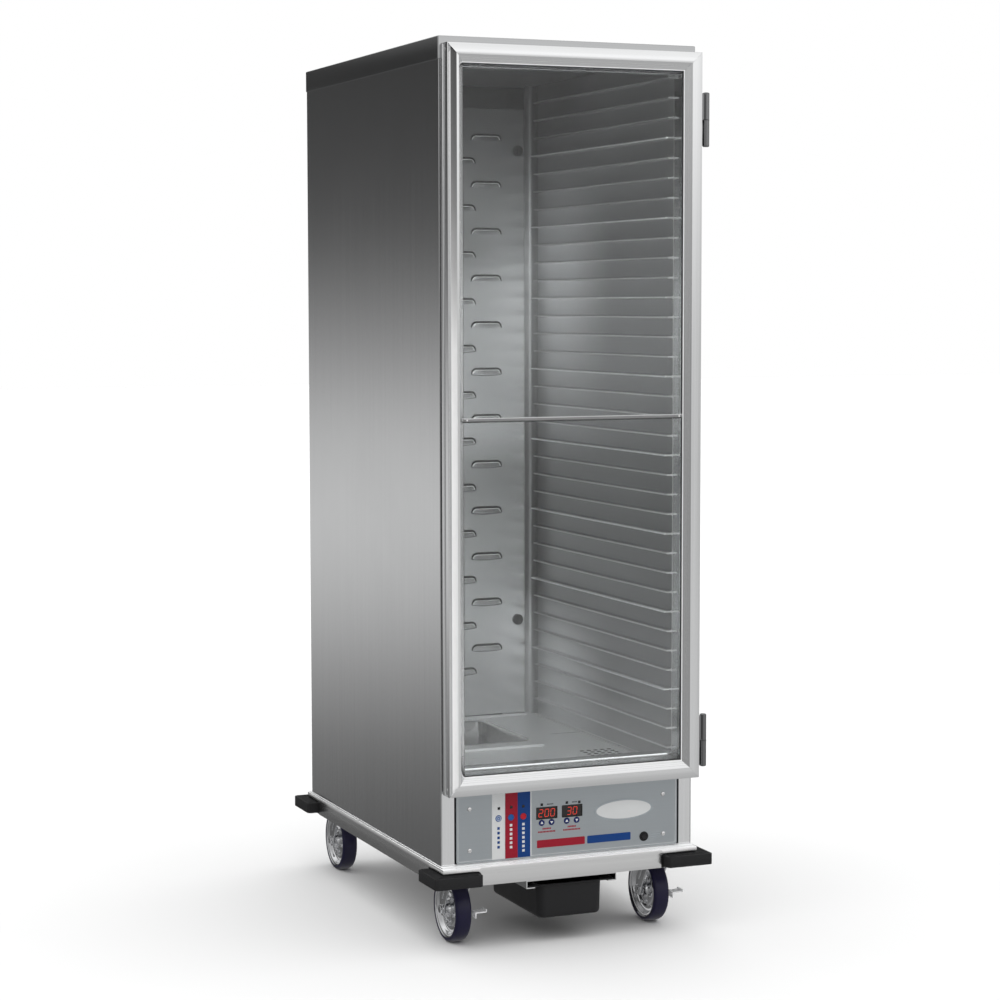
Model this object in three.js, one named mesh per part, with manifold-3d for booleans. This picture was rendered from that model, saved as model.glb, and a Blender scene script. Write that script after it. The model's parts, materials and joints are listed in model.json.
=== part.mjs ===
// Full-height mobile proofing cabinet for bakery sheet pans.
// Millimetres, +Z up, front faces -Y, left and right as seen from the front.
// Origin: on the floor, in the middle of the footprint.
import * as THREE from 'three';
import { mergeVertices } from 'three/addons/utils/BufferGeometryUtils.js';
import Module from 'manifold-3d';

const wasm = await Module();
wasm.setup();

// ---------------------------------------------------------------- shared dimensions
const SHEET = 1.4;              // body sheet thickness
const GAP = 0.3;                // assembly gap between separate pieces
const OVER = 5;                 // how far a cutting tool runs past a face

const CAP_W = 525.6;            // width over the top cap
const CAP_D = 773.1;            // depth over the top cap
const TOP_Z = 1703.0;           // floor to the top of the cap
const BODY_X = 261.1;           // outer face of a side panel, from the middle
const BODY_Y = 384.85;          // front and rear edge of the body, from the middle
const BODY_Z0 = 165.0;          // underside of the body
const PANEL_TOP = TOP_Z - SHEET - GAP;
const INNER_X = BODY_X - SHEET - GAP;     // half the space between the side panels
const BACK_Y = BODY_Y - SHEET - GAP;      // outer face of the back panel
const LINER_Y1 = BACK_Y - SHEET - GAP;    // rear limit of everything inside

const DECK_Z = 313.0;           // cavity floor
const CEIL_Z = 1685.0;          // cavity ceiling
const BASE_Z0 = 126.0;          // underside of the base frame

const FACE_X = 230.9;           // half width of the control faceplate
const FACE_Z0 = 166.6;
const FACE_Z1 = 300.2;
const FACE_Y = -385.3;          // its front face
const FACE_T = 2.0;
const CORD_X = 60;              // hole for the supply cord
const CORD_Z = 235;
const CORD_HOLE_R = 9;

const CASTER_X = 208.0;         // swivel axes
const CASTER_FRONT_Y = -335.0;
const CASTER_REAR_Y = 321.0;

const SIDES = [-1, 1];
const NAMED_SIDES = [['left', -1], ['right', 1]];
// label, x side, y side
const CORNERS = [
  ['front_left', -1, -1], ['front_right', 1, -1],
  ['rear_left', -1, 1], ['rear_right', 1, 1],
];
const casterY = (sideY) => (sideY < 0 ? CASTER_FRONT_Y : CASTER_REAR_Y);

// ---------------------------------------------------------------- outlines and primitives
// Reverses the triangles of a mesh that is wound inside out.
function outward(geometry) {
  const { position } = geometry.attributes;
  const index = geometry.index?.array;
  const count = index ? index.length : position.count;
  const corners = [0, 1, 2].map(() => new THREE.Vector3());
  let volume = 0;
  for (let i = 0; i < count; i += 3) {
    corners.forEach((corner, k) => {
      corner.fromBufferAttribute(position, index ? index[i + k] : i + k);
    });
    volume += corners[0].dot(corners[1].cross(corners[2]));
  }
  if (volume >= 0) return geometry;
  const [list, size] = index ? [index, 1] : [position.array, 3];
  for (let i = 0; i < list.length; i += 3 * size) {
    for (let k = i; k < i + size; k++) {
      [list[k], list[k + 2 * size]] = [list[k + 2 * size], list[k]];
    }
  }
  return geometry;
}

function remap(geometry, place) {
  const { position } = geometry.attributes;
  for (let i = 0; i < position.count; i++) {
    position.setXYZ(i, ...place(position.getX(i), position.getY(i), position.getZ(i)));
  }
  return outward(geometry);
}

const mirrored = (side, from, to) => (side > 0 ? [from, to] : [-to, -from]);

const box = (x0, x1, y0, y1, z0, z1) => new THREE.BoxGeometry(x1 - x0, y1 - y0, z1 - z0)
  .translate((x0 + x1) / 2, (y0 + y1) / 2, (z0 + z1) / 2);

// box symmetric about x = 0
const midBox = (halfX, y0, y1, z0, z1) => box(-halfX, halfX, y0, y1, z0, z1);

// box symmetric about x = 0 and y = 0
const slab = (halfX, halfY, z0, z1) => midBox(halfX, -halfY, halfY, z0, z1);

// box given for the right side, mirrored to the left when side is -1
const sideBox = (side, x0, x1, ...yz) => box(...mirrored(side, x0, x1), ...yz);

// cylinder along an axis; (u, v) is its centre: (y,z) for 'x', (x,z) for 'y', (x,y) for 'z'
function cyl(axis, radius, from, to, u, v, sides = 24) {
  const geometry = new THREE.CylinderGeometry(radius, radius, to - from, sides);
  geometry.translate(0, (from + to) / 2, 0);
  if (axis === 'x') return geometry.rotateZ(-Math.PI / 2).translate(0, u, v);
  if (axis === 'y') return geometry.translate(u, 0, v);
  return geometry.rotateX(Math.PI / 2).translate(u, v, 0);
}

const vectors = (points) => points.map(([u, v]) => new THREE.Vector2(u, v));

function outline(points, holes = []) {
  const shape = new THREE.Shape(vectors(points));
  shape.holes.push(...holes.map((hole) => new THREE.Path(vectors(hole))));
  return shape;
}

const extrude = (shape, depth) =>
  new THREE.ExtrudeGeometry(shape, { depth, bevelEnabled: false });

// prism of a flat outline: 'z' takes (x,y), 'x' takes (y,z), 'y' takes (x,z)
function prism(axis, points, from, to, holes = []) {
  const geometry = extrude(outline(points, holes), to - from);
  if (axis === 'z') return remap(geometry, (u, v, w) => [u, v, w + from]);
  if (axis === 'x') return remap(geometry, (u, v, w) => [w + from, u, v]);
  return remap(geometry, (u, v, w) => [u, w + from, v]);
}

const rectangle = (x0, x1, y0, y1) => [[x0, y0], [x1, y0], [x1, y1], [x0, y1]];

const mirrorPoints = (side, points) => points.map(([u, v]) => [side * u, v]);

const circlePoints = (centreX, centreY, radius, count) => Array.from({ length: count }, (_, i) => {
  const angle = (i / count) * 2 * Math.PI;
  return [centreX + radius * Math.cos(angle), centreY + radius * Math.sin(angle)];
});

function roundRect(x0, x1, y0, y1, radius, steps) {
  const points = [];
  const corner = (centreX, centreY, start) => {
    for (let i = 0; i <= steps; i++) {
      const angle = start + (Math.PI / 2) * (i / steps);
      points.push([centreX + radius * Math.cos(angle), centreY + radius * Math.sin(angle)]);
    }
  };
  corner(x1 - radius, y1 - radius, 0);
  corner(x0 + radius, y1 - radius, Math.PI / 2);
  corner(x0 + radius, y0 + radius, Math.PI);
  corner(x1 - radius, y0 + radius, 1.5 * Math.PI);
  return points;
}

// upright block with rounded corners, symmetric about x = 0
const roundBlock = (halfX, y0, y1, radius, steps, z0, z1) =>
  prism('z', roundRect(-halfX, halfX, y0, y1, radius, steps), z0, z1);

// round rod along a curve
const rod = (path, radius, sides, steps) => outward(new THREE.ExtrudeGeometry(
  outline(circlePoints(0, 0, radius, sides)), { steps, bevelEnabled: false, extrudePath: path }));

// turned piece about the X axis: profile of [radius, x], closed on itself
function turnX(profile, segments, y, z) {
  const geometry = new THREE.LatheGeometry(vectors([...profile, profile[0]]), segments);
  return remap(geometry, (u, v, w) => [v, u + y, w + z]);
}

// ---------------------------------------------------------------- solid operations
// The operations take geometries or manifolds and return a manifold.
function solid(shape) {
  if (!shape.isBufferGeometry) return shape;
  const bare = shape.clone();
  for (const key of Object.keys(bare.attributes)) {
    if (key !== 'position') bare.deleteAttribute(key);
  }
  const merged = mergeVertices(bare, 1e-4);
  return new wasm.Manifold(new wasm.Mesh({
    numProp: 3,
    vertProperties: new Float32Array(merged.attributes.position.array),
    triVerts: new Uint32Array(merged.index.array),
  }));
}

const fuse = (...shapes) => shapes.map(solid).reduce((a, b) => a.add(b));
const carve = (...shapes) => shapes.map(solid).reduce((a, b) => a.subtract(b));

function skin(manifold) {
  const mesh = manifold.getMesh();
  const geometry = new THREE.BufferGeometry();
  const positions = new Float32Array(mesh.vertProperties);
  geometry.setAttribute('position', new THREE.BufferAttribute(positions, 3));
  geometry.setIndex(new THREE.BufferAttribute(new Uint32Array(mesh.triVerts), 1));
  const flat = geometry.toNonIndexed();
  flat.computeVertexNormals();
  return flat;
}

// ---------------------------------------------------------------- materials and scene graph
const finish = (settings) => () => new THREE.MeshStandardMaterial(settings);
const brushed = finish({ color: 0xb9bbbd, roughness: 0.36, metalness: 1 });
const bright = finish({ color: 0xd6d7d8, roughness: 0.3, metalness: 1 });
const dull = finish({ color: 0x9b9ea1, roughness: 0.5, metalness: 1 });
const stainless = finish({ color: 0xc4c6c8, roughness: 0.25, metalness: 1 });
const zinc = finish({ color: 0xc9ccd0, roughness: 0.28, metalness: 1 });
const faceMetal = finish({ color: 0x9fb0ba, roughness: 0.38, metalness: 0.9 });
const heaterMetal = finish({ color: 0x55504c, roughness: 0.5, metalness: 0.8 });
const wheelMetal = finish({ color: 0x8d9093, roughness: 0.5, metalness: 1 });
const rubber = finish({ color: 0x232323, roughness: 0.8, metalness: 0 });
const gasketRubber = finish({ color: 0x3a3a3c, roughness: 0.8, metalness: 0 });
const blackPlastic = finish({ color: 0x151515, roughness: 0.45, metalness: 0 });
const boardPlastic = finish({ color: 0x1a1412, roughness: 0.35, metalness: 0 });
const tyrePlastic = finish({ color: 0x1b1c3d, roughness: 0.35, metalness: 0 });
const glass = finish({
  color: 0xe8eef0, roughness: 0.05, metalness: 0, transparent: true, opacity: 0.2,
});
const buttonPlastic = (color) => finish({ color, roughness: 0.4, metalness: 0 })();

const cabinet = new THREE.Group();

function add(parent, name, shape, material) {
  const mesh = new THREE.Mesh(shape.isBufferGeometry ? shape : skin(shape), material);
  mesh.name = name;
  parent.add(mesh);
}

function group(parent, x, y, z) {
  const child = new THREE.Group();
  child.position.set(x, y, z);
  parent.add(child);
  return child;
}

// ---------------------------------------------------------------- body shell
const CAP_BAND = 42.1;          // height of the cap's side band
const FLANGE_W = 20;            // rear flange of a side panel
const VENT_COUNT = 5;
const VENT_PITCH = 14;
const shell = group(cabinet, 0, 0, 0);

add(shell, 'top_cap', carve(
  slab(CAP_W / 2, CAP_D / 2, TOP_Z - CAP_BAND, TOP_Z),
  slab(CAP_W / 2 - SHEET, CAP_D / 2 - SHEET, TOP_Z - CAP_BAND - OVER, TOP_Z - SHEET)), brushed());

// flat sheets with a rear flange folded behind the back panel
const sidePanel = [
  [BODY_X, -BODY_Y], [BODY_X, BODY_Y],
  [BODY_X - FLANGE_W, BODY_Y], [BODY_X - FLANGE_W, BODY_Y - SHEET],
  [BODY_X - SHEET, BODY_Y - SHEET], [BODY_X - SHEET, -BODY_Y],
];
for (const [label, side] of NAMED_SIDES) {
  const panel = prism('z', mirrorPoints(side, sidePanel), BODY_Z0, PANEL_TOP);
  add(shell, `side_panel_${label}`, panel, brushed());
}

const ventHoles = Array.from({ length: VENT_COUNT }, (_, i) =>
  roundRect(-190, -110, 182 + i * VENT_PITCH, 187 + i * VENT_PITCH, 2.4, 2));
add(shell, 'back_panel', prism('y', rectangle(-INNER_X, INNER_X, BODY_Z0, PANEL_TOP),
  BACK_Y - SHEET, BACK_Y,
  [...ventHoles, circlePoints(CORD_X, CORD_Z, CORD_HOLE_R, 16)]), brushed());

// welded front frame: two channel posts, header, sill and bottom strap, open to the rear
function frontFrame() {
  const POST_X = 234.3;         // half width of the door opening
  const HEADER_Z = 1648.0;      // underside of the header
  const SILL_Z0 = 301.0;
  const SILL_Z1 = 347.0;
  const WALL = 2;
  const LAP = 1;                // overlap of the cross members into the posts
  const front = -BODY_Y;
  const back = front + 30;
  const top = CEIL_Z - GAP;
  const hollow = (x0, x1, z0, z1) => box(x0, x1, front + WALL, back + OVER, z0, z1);

  const posts = SIDES.map((side) => sideBox(side, POST_X, INNER_X, front, back, BODY_Z0, top));
  const header = midBox(POST_X + LAP, front, back, HEADER_Z, top);
  const sillHalf = [
    [POST_X + LAP, SILL_Z0], [POST_X + LAP, SILL_Z1 - 8], [POST_X - 2, SILL_Z1 - 8],
    [POST_X - 3.5, SILL_Z1 - 3.5], [POST_X - 8, SILL_Z1],
  ];
  const sillPoints = [...sillHalf, ...mirrorPoints(-1, sillHalf).reverse()];
  const sill = prism('y', sillPoints, front, back);
  const strap = midBox(POST_X + LAP, front + 2, back, BODY_Z0, FACE_Z0 - GAP);
  return carve(fuse(...posts, header, sill, strap),
    ...SIDES.map((side) => hollow(...mirrored(side, POST_X + WALL, INNER_X - WALL),
      BODY_Z0 - OVER, top + OVER)),
    hollow(-POST_X + WALL, POST_X - WALL, HEADER_Z + WALL, top + OVER),
    hollow(-POST_X + 10, POST_X - 10, SILL_Z0 - OVER, SILL_Z1 - WALL));
}
add(shell, 'front_frame', frontFrame(), bright());

// ---------------------------------------------------------------- base frame and bumpers
const BASE_X = 265.0;           // half width of the base frame
const BASE_Y = 404.4;           // half depth of the base frame
const BASE_Z1 = 162.0;          // ledge of the base frame
const BUMP_X = 288.5;           // half width over the bumpers
const BUMP_Y = 428.0;           // half depth over the bumpers
const BUMP_ARM = 74.0;          // length of a bumper arm along the frame
const BUMP_Z0 = 129.5;
const BUMP_Z1 = 151.0;
const NOTCH = 3.0;              // depth of the bumper seats in the frame
const PLATE_Z = 148.5;          // underside of the caster mounting plates
const PLATE_HALF = 48;
const STEM_HOLE_R = 6.7;
const base = group(cabinet, 0, 0, 0);

function baseFrame() {
  let frame = fuse(
    slab(BASE_X, BASE_Y, BASE_Z0, BASE_Z1),
    slab(BODY_X + 1.6, BASE_Y - 9, BASE_Z1 - 1, BODY_Z0 - GAP));
  for (const [, sideX, sideY] of CORNERS) {
    const seat = (x0, y0) => sideBox(sideX, x0, BASE_X + OVER,
      ...mirrored(sideY, y0, BASE_Y + OVER), BASE_Z0 - OVER, BUMP_Z1 + 1.5);
    frame = carve(frame,
      seat(BASE_X - BUMP_ARM, BASE_Y - NOTCH), seat(BASE_X - NOTCH, BASE_Y - BUMP_ARM));
  }
  frame = carve(frame,
    slab(BASE_X - 6, BASE_Y - 6, BASE_Z0 - OVER, BASE_Z1 - 3),
    slab(180, 240, BASE_Z0 - OVER, BODY_Z0 + OVER));
  for (const [, sideX, sideY] of CORNERS) {
    const x = sideX * CASTER_X;
    const y = casterY(sideY);
    const plate = box(x - PLATE_HALF, x + PLATE_HALF, y - PLATE_HALF, y + PLATE_HALF,
      PLATE_Z, BASE_Z1 - 2);
    frame = carve(fuse(frame, plate),
      cyl('z', STEM_HOLE_R, PLATE_Z - OVER, BASE_Z1 - 2.6, x, y, 16));
  }
  // return flange under the front web that carries the drip pan hanger
  return fuse(frame, midBox(120, -BASE_Y + 4, -BASE_Y + 24, BASE_Z0, BASE_Z0 + 2.5));
}
add(base, 'base_frame', baseFrame(), bright());

// L-shaped corner bumper, drawn for the rear right corner
const seatX = BASE_X - NOTCH + GAP;
const seatY = BASE_Y - NOTCH + GAP;
const armX = BASE_X - BUMP_ARM + GAP;
const armY = BASE_Y - BUMP_ARM + GAP;
const bumperOutline = [
  [armX, seatY], [armX, BUMP_Y - 7], [armX + 5, BUMP_Y], [BUMP_X - 4, BUMP_Y],
  [BUMP_X, BUMP_Y - 4], [BUMP_X, armY + 5], [BUMP_X - 7, armY], [seatX, armY], [seatX, seatY],
];
for (const [label, sideX, sideY] of CORNERS) {
  const points = bumperOutline.map(([x, y]) => [sideX * x, sideY * y]);
  add(base, `bumper_${label}`, prism('z', points, BUMP_Z0, BUMP_Z1), rubber());
}

// ---------------------------------------------------------------- cavity: pan slides
const SLIDE_COUNT = 35;         // pairs of pan slides
const SLIDE_PITCH = 38.1;       // 1.5 in
const SLIDE_LOW_Z = 352.0;      // top of the lowest slide
const SLIDE_T = 2.4;
const RACK_X = 236.0;           // face of the slide wall
const RACK_T = 1.6;
const SLIDE_EDGE = 223.0;       // inner edge of a plain slide
const SHELF_EDGE = 217.5;       // inner edge of every fourth, wider slide
const SLIDE_Y0 = -352.0;
const SLIDE_Y1 = 300.0;
const RACK_Y1 = 327.6;          // rear face of the rack
const DUCT_X = 211.0;           // half width of the air duct panel
const cavity = group(cabinet, 0, 0, 0);

function slideRack(side) {
  const z0 = DECK_Z + GAP;
  const z1 = CEIL_Z - GAP;
  const points = [[RACK_X + RACK_T, z0], [RACK_X + RACK_T, z1], [RACK_X, z1]];
  for (let i = 0; i < SLIDE_COUNT; i++) {
    const z = SLIDE_LOW_Z + (SLIDE_COUNT - 1 - i) * SLIDE_PITCH;
    const edge = i % 4 === 3 ? SHELF_EDGE : SLIDE_EDGE;
    points.push([RACK_X, z], [edge, z], [edge, z - SLIDE_T], [RACK_X, z - SLIDE_T]);
  }
  points.push([RACK_X, z0 + RACK_T], [RACK_X - 8, z0 + RACK_T], [RACK_X - 8, z0]);
  const wall = (x0, x1, y0, y1) => sideBox(side, x0, x1, y0, y1, z0, z1);
  return fuse(
    prism('y', mirrorPoints(side, points), SLIDE_Y0, SLIDE_Y1),
    wall(RACK_X, RACK_X + RACK_T, SLIDE_Y1 - 2, RACK_Y1),
    wall(DUCT_X + 2.5, RACK_X + RACK_T, RACK_Y1 - RACK_T, RACK_Y1),
    wall(RACK_X, INNER_X, SLIDE_Y0, SLIDE_Y0 + RACK_T));
}
for (const [label, side] of NAMED_SIDES) {
  add(cavity, `slide_rack_${label}`, slideRack(side), brushed());
}

// ---------------------------------------------------------------- cavity: air duct
const DUCT_Y = 318.0;           // front face of the air duct panel
const DUCT_Z1 = 1634.5;
const LOUVRE_W = 70.0;
const LOUVRE_H = 6.0;
const LOUVRE_ROWS = 12;
const LOUVRE_PITCH = 100.3;     // between louvres of one column
const LOUVRE_TOP_Z = 1577.0;
const FASTENER_X = 192.8;
const FASTENERS = [['upper', 1543.6], ['lower', 524.5]];

function airDuct() {
  const cuts = [];
  const louvre = (x, top) => cuts.push(box(x - LOUVRE_W / 2, x + LOUVRE_W / 2,
    DUCT_Y - OVER, DUCT_Y + OVER, top - LOUVRE_H, top));
  for (let row = 0; row < LOUVRE_ROWS; row++) {
    const top = LOUVRE_TOP_Z - row * LOUVRE_PITCH;
    for (const x of [-120, 0, 120]) louvre(x, top);
    for (const x of [-60, 60]) louvre(x, top - LOUVRE_PITCH / 2);
  }
  for (const [, z] of FASTENERS) {
    for (const side of SIDES) {
      cuts.push(cyl('y', 4.4, DUCT_Y - OVER, DUCT_Y + OVER, side * FASTENER_X, z, 12));
    }
  }
  return carve(
    midBox(DUCT_X, DUCT_Y, LINER_Y1, DECK_Z + 5.6, DUCT_Z1),
    midBox(DUCT_X - SHEET, DUCT_Y + SHEET, LINER_Y1 + OVER, DECK_Z, DUCT_Z1 - SHEET),
    ...cuts);
}
add(cavity, 'air_duct_panel', airDuct(), brushed());

// slotted quarter-turn fasteners, fitted in the two right-hand holes of the duct panel
function ductFastener() {
  const head = cyl('y', 11.5, -4.6, -GAP, 0, 0, 24);
  const stem = cyl('y', 4.0, -1, 5.6, 0, 0, 12);
  const crossBar = box(-9, 9, 4.2, 5.8, -2.6, 2.6);
  const slot = box(-1.6, 1.6, -6, -2.6, -9.5, 9.5);
  return carve(fuse(head, stem, crossBar), slot);
}
for (const [label, z] of FASTENERS) {
  const place = group(cavity, FASTENER_X, DUCT_Y, z);
  add(place, `duct_fastener_${label}`, ductFastener(), blackPlastic());
}

// ---------------------------------------------------------------- cavity: deck, pan, ceiling
const LINER_T = 1.2;            // sheet of the deck, water pan and ceiling
const DECK_H = 16;
const CEIL_H = 15;
const PAN_X = 87.0;             // half width of the water pan
const PAN_Y0 = 13.0;
const PAN_Y1 = 264.6;
const PAN_R = 18;               // its corner radius
const PAN_DEPTH = 58;           // from the deck to its underside

// tray turned down at the sides, with a grid of square holes left and right
function deckPanel() {
  const cutZ = [DECK_Z - DECK_H - OVER, DECK_Z + OVER];
  const cuts = [
    midBox(INNER_X - LINER_T, SLIDE_Y0 - OVER, LINER_Y1 + OVER, cutZ[0], DECK_Z - LINER_T),
    roundBlock(PAN_X + 1, PAN_Y0 - 1, PAN_Y1 + 1, PAN_R + 1, 4, ...cutZ),
    midBox(170, 334, 372, ...cutZ),
  ];
  const holeHalf = 4.5;
  for (const side of SIDES) {
    for (let i = 0; i < 5; i++) {
      for (let j = 0; j < 5; j++) {
        const x = side * (141.5 + i * 15);
        const y = -207.5 + j * 18;
        cuts.push(box(x - holeHalf, x + holeHalf, y - holeHalf, y + holeHalf, ...cutZ));
      }
    }
  }
  const tray = midBox(INNER_X, SLIDE_Y0 + 1, LINER_Y1, DECK_Z - DECK_H, DECK_Z);
  // two cross ridges: one ahead of the pan, one just ahead of the duct
  return fuse(carve(tray, ...cuts),
    midBox(89, -54, -48, DECK_Z - 0.8, DECK_Z + 4),
    midBox(DUCT_X - 2, 308, 313, DECK_Z - 0.8, DECK_Z + 5));
}
add(cavity, 'deck_panel', deckPanel(), brushed());

// lift-out water pan hung by its rim in the deck
function waterPan() {
  const rimZ = DECK_Z + GAP;
  const rim = roundBlock(PAN_X + 7, PAN_Y0 - 7, PAN_Y1 + 7, PAN_R + 7, 4, rimZ, rimZ + LINER_T);
  const tub = roundBlock(PAN_X, PAN_Y0, PAN_Y1, PAN_R, 4, DECK_Z - PAN_DEPTH, rimZ + 0.6);
  const inside = roundBlock(PAN_X - LINER_T, PAN_Y0 + LINER_T, PAN_Y1 - LINER_T,
    PAN_R - LINER_T, 4, DECK_Z - PAN_DEPTH + LINER_T, DECK_Z + OVER);
  return carve(fuse(rim, tub), inside);
}
add(cavity, 'water_pan', waterPan(), stainless());

add(cavity, 'ceiling_panel', carve(
  midBox(INNER_X, -BODY_Y + 2, LINER_Y1, CEIL_Z, CEIL_Z + CEIL_H),
  midBox(INNER_X - LINER_T, -BODY_Y + 2 + LINER_T, LINER_Y1 - LINER_T,
    CEIL_Z + LINER_T, CEIL_Z + CEIL_H + OVER)), brushed());

// ---------------------------------------------------------------- control module: chassis
const CHASSIS_X = 228.0;        // half width
const CHASSIS_Y0 = FACE_Y + FACE_T + GAP;
const CHASSIS_Y1 = 376.0;
const CHASSIS_Z0 = FACE_Z0 + 0.1;
const CHASSIS_Z1 = FACE_Z1 - 0.4;
const CHASSIS_T = 1.2;
const BULKHEAD_Y = -250.0;      // rear face of the cross wall
const HEATER_X = 50.0;          // the element's legs, from the middle
const HEATER_Z = 238.0;
const controls = group(cabinet, 0, 0, 0);

function controlChassis() {
  const wallZ = [CHASSIS_Z0 + 0.5, CHASSIS_Z1 - 1];
  const tray = carve(
    midBox(CHASSIS_X, CHASSIS_Y0, CHASSIS_Y1, CHASSIS_Z0, CHASSIS_Z1),
    midBox(CHASSIS_X - CHASSIS_T, CHASSIS_Y0 - OVER, CHASSIS_Y1 - CHASSIS_T,
      CHASSIS_Z0 + CHASSIS_T, CHASSIS_Z1 + OVER));
  const frontTabs = SIDES.map((side) => sideBox(side, 194, CHASSIS_X - 0.5,
    CHASSIS_Y0 + 0.1, CHASSIS_Y0 + CHASSIS_T, ...wallZ));
  const bulkhead = midBox(CHASSIS_X - 0.5, BULKHEAD_Y - CHASSIS_T, BULKHEAD_Y, ...wallZ);
  return carve(fuse(tray, ...frontTabs, bulkhead),
    ...SIDES.map((side) => cyl('y', 7, BULKHEAD_Y - OVER, BULKHEAD_Y + OVER,
      side * HEATER_X, HEATER_Z, 16)),
    cyl('y', CORD_HOLE_R, CHASSIS_Y1 - OVER, CHASSIS_Y1 + OVER, CORD_X, CORD_Z, 16));
}
add(controls, 'control_chassis', controlChassis(), dull());

// ---------------------------------------------------------------- control module: faceplate
// name, x, z, radius, colour
const BUTTONS = [
  ['power_button', -145.0, 247.0, 6.0, 0x2b6fb5],
  ['heater_button', -119.4, 247.0, 6.0, 0x1f4f9b],
  ['proofer_button', -94.0, 247.0, 6.0, 0xc01f2e],
  ['heat_up_button', -56.0, 231.0, 5.6, 0x1d2f6f],
  ['heat_down_button', -35.6, 231.0, 5.6, 0x1d2f6f],
  ['proof_up_button', -3.9, 231.0, 5.6, 0x1d2f6f],
  ['proof_down_button', 16.8, 231.0, 5.6, 0x1d2f6f],
];
const BREAKER = ['breaker_button', 159.4, 187.0, 6.0];
// x0, x1, z0, z1 of the display windows
const WINDOWS = [[-66.4, -24.6, 239.0, 260.3], [-13.0, 27.6, 239.0, 260.3]];
const BUTTON_CLEARANCE = 0.4;

const faceCutY = [FACE_Y - OVER, FACE_Y + FACE_T + OVER];
add(controls, 'control_faceplate', carve(
  prism('y', roundRect(-FACE_X, FACE_X, FACE_Z0, FACE_Z1, 4, 4), FACE_Y, FACE_Y + FACE_T),
  ...[...BUTTONS, BREAKER].map(([, x, z, radius]) =>
    cyl('y', radius + BUTTON_CLEARANCE, ...faceCutY, x, z, 16)),
  ...WINDOWS.map(([x0, x1, z0, z1]) => box(x0, x1, ...faceCutY, z0, z1))), faceMetal());

// circuit board with a display block in each window and four corner standoffs
function displayBoard() {
  const parts = [box(-158, 36, FACE_Y + 5.4, FACE_Y + 7.0, 220, 270)];
  const blockBack = FACE_Y + 5.8;
  for (const [x0, x1, z0, z1] of WINDOWS) {
    parts.push(box(x0 + 0.5, x1 - 0.5, FACE_Y + 0.5, blockBack, z0 + 0.5, z1 - 0.5));
  }
  for (const x of [-150, 28]) {
    for (const z of [224, 266]) {
      parts.push(box(x - 2.5, x + 2.5, FACE_Y + FACE_T + GAP, blockBack, z - 2.5, z + 2.5));
    }
  }
  return fuse(...parts);
}
add(controls, 'display_board', displayBoard(), boardPlastic());

for (const [name, x, z, radius, color] of BUTTONS) {
  const place = group(controls, x, FACE_Y, z);
  add(place, name, cyl('y', radius, -0.6, 3.0, 0, 0, 16), buttonPlastic(color));
}

const [breakerName, breakerX, breakerZ, breakerR] = BREAKER;
add(group(controls, breakerX, FACE_Y, breakerZ), breakerName, fuse(
  cyl('y', breakerR, -2.4, 4.0, 0, 0, 16), cyl('y', 4.0, 3.0, 22, 0, 0, 8)), blackPlastic());

// ---------------------------------------------------------------- control module: heater
// U-shaped tubular element under the water pan, its ends held at the bulkhead
function heaterElement() {
  const radius = 4.2;
  const bendY = 190.0;
  const bend = new THREE.CatmullRomCurve3(Array.from({ length: 13 }, (_, i) => {
    const angle = Math.PI * (i / 12);
    return new THREE.Vector3(
      HEATER_X * Math.cos(angle), bendY + HEATER_X * Math.sin(angle), HEATER_Z);
  }));
  // the legs are a touch thicker so that they swallow the ends of the bend
  const legs = SIDES.map((side) =>
    cyl('y', radius + 0.05, BULKHEAD_Y + 1, bendY + 1.5, side * HEATER_X, HEATER_Z, 12));
  const plate = midBox(HEATER_X + 12, BULKHEAD_Y + GAP, BULKHEAD_Y + 2.4,
    HEATER_Z - 11, HEATER_Z + 11);
  return fuse(rod(bend, radius, 12, 14), ...legs, plate);
}
add(controls, 'heater_element', heaterElement(), heaterMetal());

// ---------------------------------------------------------------- control module: blower
// centrifugal blower feeding the duct, its axis along X
const BLOWER_Y = 322.0;
const BLOWER_Z = 222.0;
const BLOWER_R = 44.0;
const BLOWER_X = 62.0;          // half width of the casing
const CASING_T = 1.5;

// casing section in (y,z): an open spiral drum running up into a straight outlet
function scroll(inset, top) {
  const radius = BLOWER_R - inset;
  const points = [[BLOWER_Y + radius, top]];
  for (let i = 0; i <= 14; i++) {
    const angle = (-i / 14) * (1.42 * Math.PI);
    points.push([BLOWER_Y + radius * Math.cos(angle), BLOWER_Z + radius * Math.sin(angle)]);
  }
  points.push([points.at(-1)[0], top]);
  return points;
}

function blowerCasing() {
  const onAxis = (radius, from, to, sides) =>
    cyl('x', radius, from, to, BLOWER_Y, BLOWER_Z, sides);
  const top = CHASSIS_Z1 - 0.6;
  const inside = prism('x', scroll(CASING_T, top + OVER),
    -BLOWER_X + CASING_T, BLOWER_X - CASING_T);
  const inlet = onAxis(26, -BLOWER_X - OVER, -BLOWER_X + OVER, 24);
  const motor = onAxis(24, BLOWER_X - 0.5, BLOWER_X + 42, 24);
  const foot = midBox(BLOWER_X, BLOWER_Y - 20, BLOWER_Y + 20,
    CHASSIS_Z0 + CHASSIS_T + GAP, BLOWER_Z - BLOWER_R + 4);
  const shaftBore = onAxis(3.8, BLOWER_X - OVER, BLOWER_X + 24, 12);
  const drum = carve(prism('x', scroll(0, top), -BLOWER_X, BLOWER_X), inside, inlet);
  return carve(fuse(drum, motor, foot), inside, shaftBore);
}
add(controls, 'blower_casing', blowerCasing(), dull());

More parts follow.
